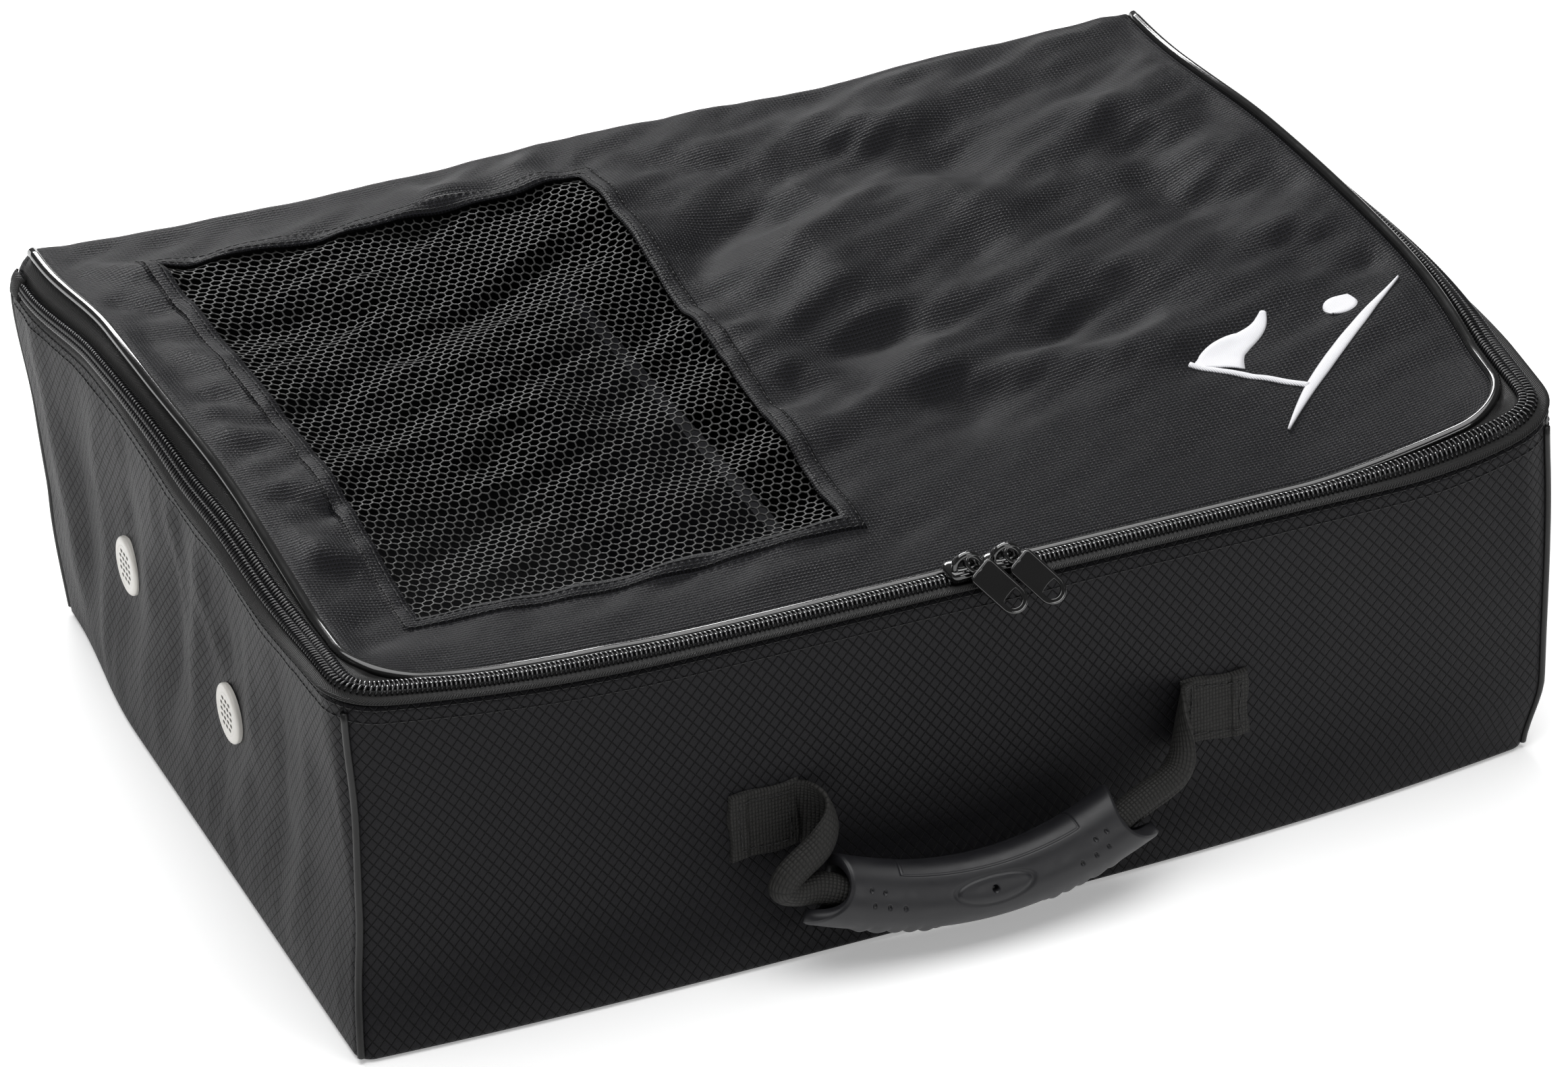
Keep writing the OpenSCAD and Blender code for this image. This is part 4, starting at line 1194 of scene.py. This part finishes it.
def circle(cx, cy, rx, ry=None, n=48):
    a = np.linspace(0, 2 * np.pi, n, endpoint=False)
    return np.column_stack([cx + rx * np.cos(a), cy + (ry or rx) * np.sin(a)])


def slot_loop(cx, cy, length, width, n=8):
    a = np.linspace(-np.pi / 2, np.pi / 2, n)
    r, half = width / 2, (length - width) / 2
    right = np.column_stack([cx + half + r * np.cos(a), cy + r * np.sin(a)])
    left = np.column_stack([cx - half - r * np.cos(a), cy - r * np.sin(a)])
    return np.vstack([right, left])


def make_vents():
    z, radius = VENT_Z, VENT_R
    parts = []
    for y in VENT_Y:
        skin = wall_relief(3, np.array([-y]), np.array([z]))[0]
        at = settle([[-HALF_L - skin, y, z]])[0] - np.array([1.0 * MM, 0, 0])
        axis, right = np.array([-1.0, 0, 0]), np.array([0, -1.0, 0])
        rim = lathe(
            [(8.0 * MM, 0.9 * MM), (8.4 * MM, 1.35 * MM), (9.0 * MM, 1.6 * MM), (10.6 * MM, 1.65 * MM),
             (11.6 * MM, 1.35 * MM), (radius - 0.1 * MM, 0.8 * MM), (radius, 0.3 * MM),
             (radius - 0.2 * MM, -1.0 * MM)],
            at, axis, right, [NICKEL], "vent_rim",
        )
        holes = [circle(0, 0, 8.6 * MM)]
        for row in range(5):
            height = (row - 2) * 2.75 * MM
            count = 3 if abs(row - 2) == 2 else 4
            for k in range(count):
                across = (k - (count - 1) / 2) * 3.4 * MM
                holes.append(slot_loop(across, height, 2.75 * MM, 1.75 * MM))
        turn = Matrix(((0, -1, 0, at[0] - 1.33 * MM), (-1, 0, 0, at[1]), (0, 0, 1, at[2]), (0, 0, 0, 1)))
        grille = plate("vent_grille", holes, 0.36 * MM, 0.08 * MM, [NICKEL], turn)
        # a near-black disc behind the grille: painted shade seen through the slots
        back = lathe([(0.0001, 1.08 * MM), (8.5 * MM, 1.08 * MM)], at, axis, right, [SLOT_SHADE], "vent_shade_disc")
        back.data.flip_normals()
        parts += [rim, grille, back]
    vents = join("vent_discs", parts)
    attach(vents, "shell")
    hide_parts("vent_caps")


def make_welts():
    """Raised seams up the four corners, on the fold between two walls."""
    seams = []
    for side in range(4):
        points, _ = wall_points(side, 40)
        line = points[-1]
        out = unit([line[0][0], line[0][1], 0]) * [1, 1, 0]
        keep = (line[:, 2] > 2 * MM) & (line[:, 2] < line[-1, 2] - 2 * MM)
        seams.append(tube("welt", line[keep] + unit(out) * 0.7 * MM, 1.5 * MM, [TAPE_EDGE], 10))
    welt = join("corner_welt_cords", seams)
    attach(welt, "shell")
    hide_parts("corner_welts")


def front_skin(x, z):
    """Outside of the front wall before it settles."""
    return -HALF_W - wall_relief(0, x, z)


def make_patches():
    """Square ends of the webbing sewn to the front wall, their outer edge folded under."""
    seams = []
    for name, out in (("left", -1), ("right", 1)):
        lo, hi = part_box(f"handle_patch_{name}")
        u, v = np.meshgrid(np.linspace(0, 1, 60), np.linspace(0, 1, 60), indexing="ij")
        x, z = lo.x + (hi.x - lo.x) * u, lo.z + (hi.z - lo.z) * v
        x = x + 0.5 * MM * np.sin(9 * v + out)
        z = z + 0.6 * MM * np.sin(7 * u) - out * 1.2 * MM * (u - 0.5)
        edge = np.minimum.reduce([u, 1 - u, v, 1 - v]) * 28 * MM
        rounded = np.sqrt(np.clip(1 - (1 - np.clip(edge / (0.9 * MM), 0, 1)) ** 2, 0, 1))
        fold = smooth(((u if out > 0 else 1 - u) - 0.72) / 0.05)
        puff = 0.25 * MM * ripple(np.stack([x, z, 0 * x], -1), 0.008, 3 + out)
        lift = rounded * (1.5 * MM + 0.9 * MM * fold + puff) + 0.1 * MM
        y = front_skin(x, z) - lift
        points = np.stack([x, y, z], -1)
        patch = grid(f"handle_patch_{name}_web", points, [WEBBING], np.stack([z, x], -1))
        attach(patch, "shell")
        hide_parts(f"handle_patch_{name}")
        inset = 0.13
        corners = [(inset, inset), (1 - inset, inset), (1 - inset, 1 - inset), (inset, 1 - inset), (inset, inset)]
        line = []
        for (a, b), (c, d) in zip(corners[:-1], corners[1:]):
            line += [(a + (c - a) * t, b + (d - b) * t) for t in np.linspace(0, 1, 14)]
        line = np.array(line)
        index = np.clip((line * 59).round().astype(int), 0, 59)
        seam = points[index[:, 0], index[:, 1]] - [0, 0.05 * MM, 0]
        seams.append(stitches("row", seam, np.broadcast_to([0, -1.0, 0], seam.shape), [BLACK_THREAD]))
    seam = join("patch_stitches", seams)
    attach(seam, "shell")


def smooth_path(points, n):
    """Catmull-Rom curve through points, at n even steps."""
    p = np.asarray(points, float)
    p = np.vstack([2 * p[0] - p[1], p, 2 * p[-1] - p[-2]])
    out = []
    for i in range(1, len(p) - 2):
        for t in np.linspace(0, 1, 24, endpoint=False):
            a, b, c, d = p[i - 1], p[i], p[i + 1], p[i + 2]
            square, cube = 2 * a - 5 * b + 4 * c - d, 3 * b - a - 3 * c + d
            out.append(0.5 * (2 * b + (c - a) * t + square * t**2 + cube * t**3))
    out = np.array(out + [p[-2]])
    step = np.concatenate([[0], np.cumsum(np.linalg.norm(np.diff(out, axis=0), axis=1))])
    return np.column_stack([np.interp(np.linspace(0, step[-1], n), step, out[:, k]) for k in range(p.shape[1])])


def make_inner_parts():
    """Boards, linings and divider, following the settled shell."""
    looks = {
        "base_board": BOARD, "floor_lining": COATED, "floor_binding": TAPE_EDGE, "front_board": BOARD,
        "back_board": BOARD, "front_lining": COATED, "back_lining": COATED, "divider_panel": DIVIDER,
        "divider_tabs": TAPE_EDGE,
    }
    for node, look in looks.items():
        bm = bmesh.new()
        bm.from_mesh(frame["nodes"][node].data)
        for axis, step in enumerate((25 * MM, 25 * MM, 8 * MM)):
            spots = [v.co[axis] for v in bm.verts]
            for place in np.arange(min(spots) + step, max(spots) - 1 * MM, step):
                at, normal = [0, 0, 0], [0, 0, 0]
                at[axis], normal[axis] = place, 1
                everything = bm.verts[:] + bm.edges[:] + bm.faces[:]
                bmesh.ops.bisect_plane(bm, geom=everything, plane_co=at, plane_no=normal)
        bmesh.ops.triangulate(bm, faces=bm.faces)
        verts = np.array([v.co[:] for v in bm.verts])
        faces = [tuple(v.index for v in f.verts) for f in bm.faces]
        bm.free()
        flat_piece = node in ("base_board", "floor_lining", "floor_binding")
        tucked = verts * ([0.985, 0.99, 1] if flat_piece else [0.995, 0.991, 1])
        part = make(f"{node}_soft", tucked, faces, [look], smooth_shade=False)
        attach(part, "shell")
        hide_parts(node)


GRIP_X, GRIP_HALF = -5 * MM, 67 * MM
GRIP_FACE, GRIP_DOWN = np.array([0, -0.83, 0.56]), np.array([0, -0.56, -0.83])


def grip_line(x):
    drop = 15 * MM * (1 - ((x - GRIP_X) / GRIP_HALF) ** 2)
    x = np.asarray(x, float)
    return np.stack([x, -207 * MM + GRIP_DOWN[1] * drop, 35.5 * MM + GRIP_DOWN[2] * drop], -1)


STRAPS = {
    "left": [(-74, -187.5, 58), (-67, -190.0, 57.5), (-62, -195.5, 57), (-62.5, -201, 54.5), (-68, -205, 51),
             (-76, -207, 47.5), (-82.5, -208, 43), (-84, -208, 38.8), (-79, -208, 36.6), (-70, -208.4, 35.2),
             (-58, -211.5, 31)],
    "right": [(96, -187.5, 58), (90, -190.5, 58), (87, -195, 57), (85.5, -199, 53), (84, -202.5, 48),
              (81, -205, 43.5), (75, -206, 40), (68, -207, 37.5), (58, -209, 33.8), (48, -212, 29.5)],
}


def make_straps():
    """Webbing that leaves each patch flat, turns down and rolls up to enter the hollow grip."""
    pieces = []
    for name, route in STRAPS.items():
        n = 110
        path = smooth_path(np.array(route) * MM, n)
        run = unit(np.gradient(path, axis=0))
        wide = UP.copy()
        share = np.linspace(0, 1, n)
        rows, uv = [], []
        length = np.concatenate([[0], np.cumsum(np.linalg.norm(np.diff(path, axis=0), axis=1))])
        inward = -1.0 if name == "left" else 1.0
        for i in range(n):
            wide = unit(wide - (wide @ run[i]) * run[i])
            normal = np.cross(run[i], wide) * inward
            roll = smooth((share[i] - 0.06) / 0.42)
            bend = 1 / (150 * MM) * (1 - roll) + roll / (5.6 * MM)
            s = np.linspace(-14 * MM, 14 * MM, 30)
            angle = s * bend
            across = np.sin(angle) / bend
            depth = (1 - np.cos(angle)) / bend
            centre_back = roll * 5.2 * MM
            wave = 0.6 * MM * math.sin(9 * share[i]) * np.sin(s / (9 * MM)) * (1 - roll)
            rows.append(path[i] + across[:, None] * wide - (depth - centre_back + wave)[:, None] * normal)
            uv.append(np.column_stack([np.full(30, length[i]), s]))
        pieces.append(grid("strap", np.array(rows), [WEBBING], np.array(uv), soft=False))
    strap = join("handle_webbing", pieces)
    solidify(strap, 1.6 * MM, offset=0.0)
    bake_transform(strap)
    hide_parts("handle_strap")


def make_grip():
    """Moulded rubber grip: open ends with pointed lips, a lined panel, an oval, dimples and finger ridges."""
    nu, nv = 420, 180
    t = np.linspace(-1, 1, nu)
    angle = np.linspace(-np.pi, np.pi, nv, endpoint=False)
    tt, aa = np.meshgrid(t, angle, indexing="ij")
    lip = 3.0 * np.sin(aa) ** 2 + 6.0 * np.clip(np.sin(aa), 0, 1) ** 6 - 3.0 * np.clip(np.cos(aa), 0, 1)
    far = np.abs(tt)
    x = GRIP_X + tt * (GRIP_HALF - 7.5 * MM + MM * lip * smooth((far - 0.6) / 0.4))
    line = grip_line(x)
    slope = -2 * 15 * MM * (x - GRIP_X) / GRIP_HALF**2
    run = unit(np.stack([np.ones_like(x), GRIP_DOWN[1] * slope, GRIP_DOWN[2] * slope], -1))
    down = unit(np.cross(run, np.broadcast_to(GRIP_FACE, run.shape)))
    down = down * np.sign((down @ GRIP_DOWN))[..., None]
    face = np.broadcast_to(GRIP_FACE, run.shape)
    high = 11.2 + 0.8 * far**2
    wide = 13.2 + 0.5 * far**3 + 1.3 * np.clip(np.sin(aa), 0, 1) * far**4
    power = 2.3
    reach = (np.abs(np.cos(aa) / high) ** power + np.abs(np.sin(aa) / wide) ** power) ** (-1 / power)
    u, v = tt * GRIP_HALF / MM, np.degrees(aa)
    dent = np.zeros_like(tt)

    def groove(distance, width, depth):
        return -depth * np.exp(-((distance / width) ** 2))

    panel_u = np.abs(u - 2) - 44
    panel_v = np.abs(v + 62) - 30
    panel = np.maximum(panel_u, panel_v * 0.22) + 0.35 * np.exp(np.minimum(panel_u, panel_v * 0.22) / 2.5)
    dent += groove(panel, 0.42, 0.55) - 0.35 * smooth(-panel / 1.2)
    oval = (np.sqrt((u / 17.5) ** 2 + ((v - 14) / 27) ** 2) - 1) * 6.0
    dent += groove(oval, 0.45, 0.5) + 0.25 * smooth(-oval / 3)
    marks = [(0, 14, 1.35, 3.0)]
    marks += [(s * c, r, 0.85, 0.9) for s in (-1, 1) for c, r in ((57, 0), (50, 2), (54, 27), (47, 29), (40, 30))]
    for mu, mv, size, depth in marks:
        far_off = np.sqrt((u - mu) ** 2 + ((v - mv) * 0.215) ** 2)
        dent -= depth * smooth((size * 1.25 - far_off) / (size * 0.5))
    ridge = smooth((far - 0.32) / 0.06) * smooth((0.82 - far) / 0.06) * np.exp(-(((v - 104) / 22) ** 2))
    dent += 1.3 * ridge * np.abs(np.sin(u * np.pi / 6.2)) ** 0.7
    dent -= 0.7 * bump(far, 1.0, 0.012)
    reach = (reach + dent) * MM
    outer = line + (np.cos(aa) * reach)[..., None] * face + (np.sin(aa) * reach)[..., None] * down
    rows = [outer]
    for end, sign in ((0, -1), (-1, 1)):
        ring = []
        for deep, r in ((0.0, 9.6), (2.0, 9.0), (16.0, 8.2)):
            centre = line[end] - sign * run[end] * deep * MM
            ring.append(
                centre + (np.cos(aa[end]) * r * MM)[..., None] * face[end]
                + (np.sin(aa[end]) * r * MM)[..., None] * down[end]
            )
        rows = [np.array(ring[::-1])] + rows if sign < 0 else rows + [np.array(ring)]
    grip = grid("rubber_grip", np.concatenate(rows), [RUBBER], close_v=True, soft=False)
    if sum((p.center - Vector((p.center.x, -0.213, 0.028))).dot(p.normal) for p in grip.data.polygons) < 0:
        grip.data.flip_normals()
    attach(grip, "handle")
    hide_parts("handle_grip")


SLIDE_Z = FRONT_MID + 2.8 * MM
BAR_Y, BAR_Z = -HALF_W + 4 * MM, SLIDE_Z + 9 * MM


def make_slider(side, x0):
    """Domed slider over the closed chain, with a rounded bridge that holds the pull."""
    cy = -HALF_W + CHAIN_MID
    ang = np.linspace(0, 2 * np.pi, 48, endpoint=False)
    c, s = np.cos(ang), np.sin(ang)
    profile = (
        (0.3, 0.94), (0.5, 1.0), (3.2, 1.0), (4.0, 0.93),
        (4.5, 0.8), (4.8, 0.55), (4.9, 0.25), (4.92, 0.01),
    )
    rows = []
    for rise, share in profile:
        bx = 7.6 * MM * share * np.sign(c) * np.abs(c) ** 0.55
        by = 5.9 * MM * share * np.sign(s) * np.abs(s) ** 0.55 * (1 - 0.16 * c * (1 if side == "left" else -1))
        rows.append(np.column_stack([x0 + bx, cy + by, np.full(48, SLIDE_Z + rise * MM)]))
    body = grid("body", np.array(rows)[::-1], [ENAMEL], close_v=True, soft=False)
    arch = []
    for a in np.linspace(0, np.pi, 26):
        height = SLIDE_Z + 3.6 * MM + 6.6 * MM * math.sin(a) ** 0.7
        arch.append([x0 - 5.2 * MM * math.cos(a), BAR_Y + 0.8 * MM, height])
    bridge = tube("bridge", arch, 1.25 * MM, [ENAMEL], 14, soft=False)
    cap = []
    for rise in np.linspace(0, 1, 12):
        r = math.sqrt(max(0.0, 1 - rise**2))
        cap.append(np.column_stack([
            x0 + 4.6 * MM * r * np.sign(c) * np.abs(c) ** 0.8,
            cy + 0.6 * MM + 3.6 * MM * r * np.sign(s) * np.abs(s) ** 0.8,
            np.full(48, SLIDE_Z + (4.4 + 3.6 * rise) * MM),
        ]))
    dome = grid("dome", np.array(cap)[::-1], [ENAMEL], close_v=True, soft=False)
    slider = join(f"slider_{side}_cast", [body, bridge, dome])
    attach(slider, f"slider_{side}")
    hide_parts(f"slider_{side}")


def make_pull(side, x0):
    """Flat pull hanging askew: a thin raised rim, a solid upper plate and an open loop below."""
    place = Matrix.Translation((x0, BAR_Y, BAR_Z)) @ Matrix.Rotation(math.radians(-38), 4, "X") \
        @ Matrix.Rotation(math.radians(-35), 4, "Y")
    half, neck, end = 5.6 * MM, -6.0 * MM, -28.4 * MM
    a = np.linspace(0, np.pi, 24)
    bottom = np.column_stack([half * np.cos(a), end + half * (1 - np.sin(a))])
    b = np.linspace(0, np.pi / 2, 6)
    top_left = np.column_stack([-half + 1.8 * MM * (1 - np.cos(b)), neck - 1.8 * MM * (1 - np.sin(b))])
    top_right = top_left[::-1] * [-1, 1]
    outline = np.vstack([bottom, top_left, top_right])
    hole_r = half - 1.5 * MM
    low = np.column_stack([hole_r * np.cos(a), end + half - hole_r * np.sin(a)])
    high_edge = np.column_stack([-hole_r * np.cos(a), end + half + 1.6 * MM + 0.9 * MM * np.sin(a)])
    parts = [plate("tab", [outline, np.vstack([low, high_edge])], 1.4 * MM, 0.3 * MM, [ENAMEL], place)]

    def placed(points2, lift):
        return np.array([list(place @ Vector((u, lift, v))) for u, v in points2])

    rim = placed(outline * [0.97, 1.0], -0.5 * MM)
    parts.append(tube("rim", rim, 0.55 * MM, [ENAMEL], 8, close=True, soft=False))
    ring = np.column_stack([2.6 * MM * np.cos(2 * a), -3.2 * MM + 3.4 * MM * np.sin(2 * a)])[:-1]
    parts.append(tube("ring", placed(ring, 0.0), 0.8 * MM, [ENAMEL], 10, close=True, soft=False))
    pull = join(f"pull_{side}_cast", parts)
    for poly in pull.data.polygons:
        poly.use_smooth = True
    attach(pull, f"pull_{side}")
    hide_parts(f"pull_{side}")


make_walls()
make_welts()
make_base()
make_band()
make_end_tabs()
make_wall_stitches()
make_lid()
make_window()
make_hem()
make_gussets()
make_emblem()
make_inner_parts()
make_vents()
make_patches()
make_straps()
make_grip()
for side_name, place in (("left", 5 * MM), ("right", 21 * MM)):
    make_slider(side_name, place)
    make_pull(side_name, place)
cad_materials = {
    "board": BOARD, "lining": COATED, "divider": OXFORD, "tape": TAPE, "vent": NICKEL, "slider": ENAMEL,
    "webbing": WEBBING, "rubber": RUBBER, "ripstop": RIPSTOP,
}
for node, obj in frame["nodes"].items():
    if not obj.hide_render and slot_of[node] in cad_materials:
        obj.data.materials.clear()
        obj.data.materials.append(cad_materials[slot_of[node]])
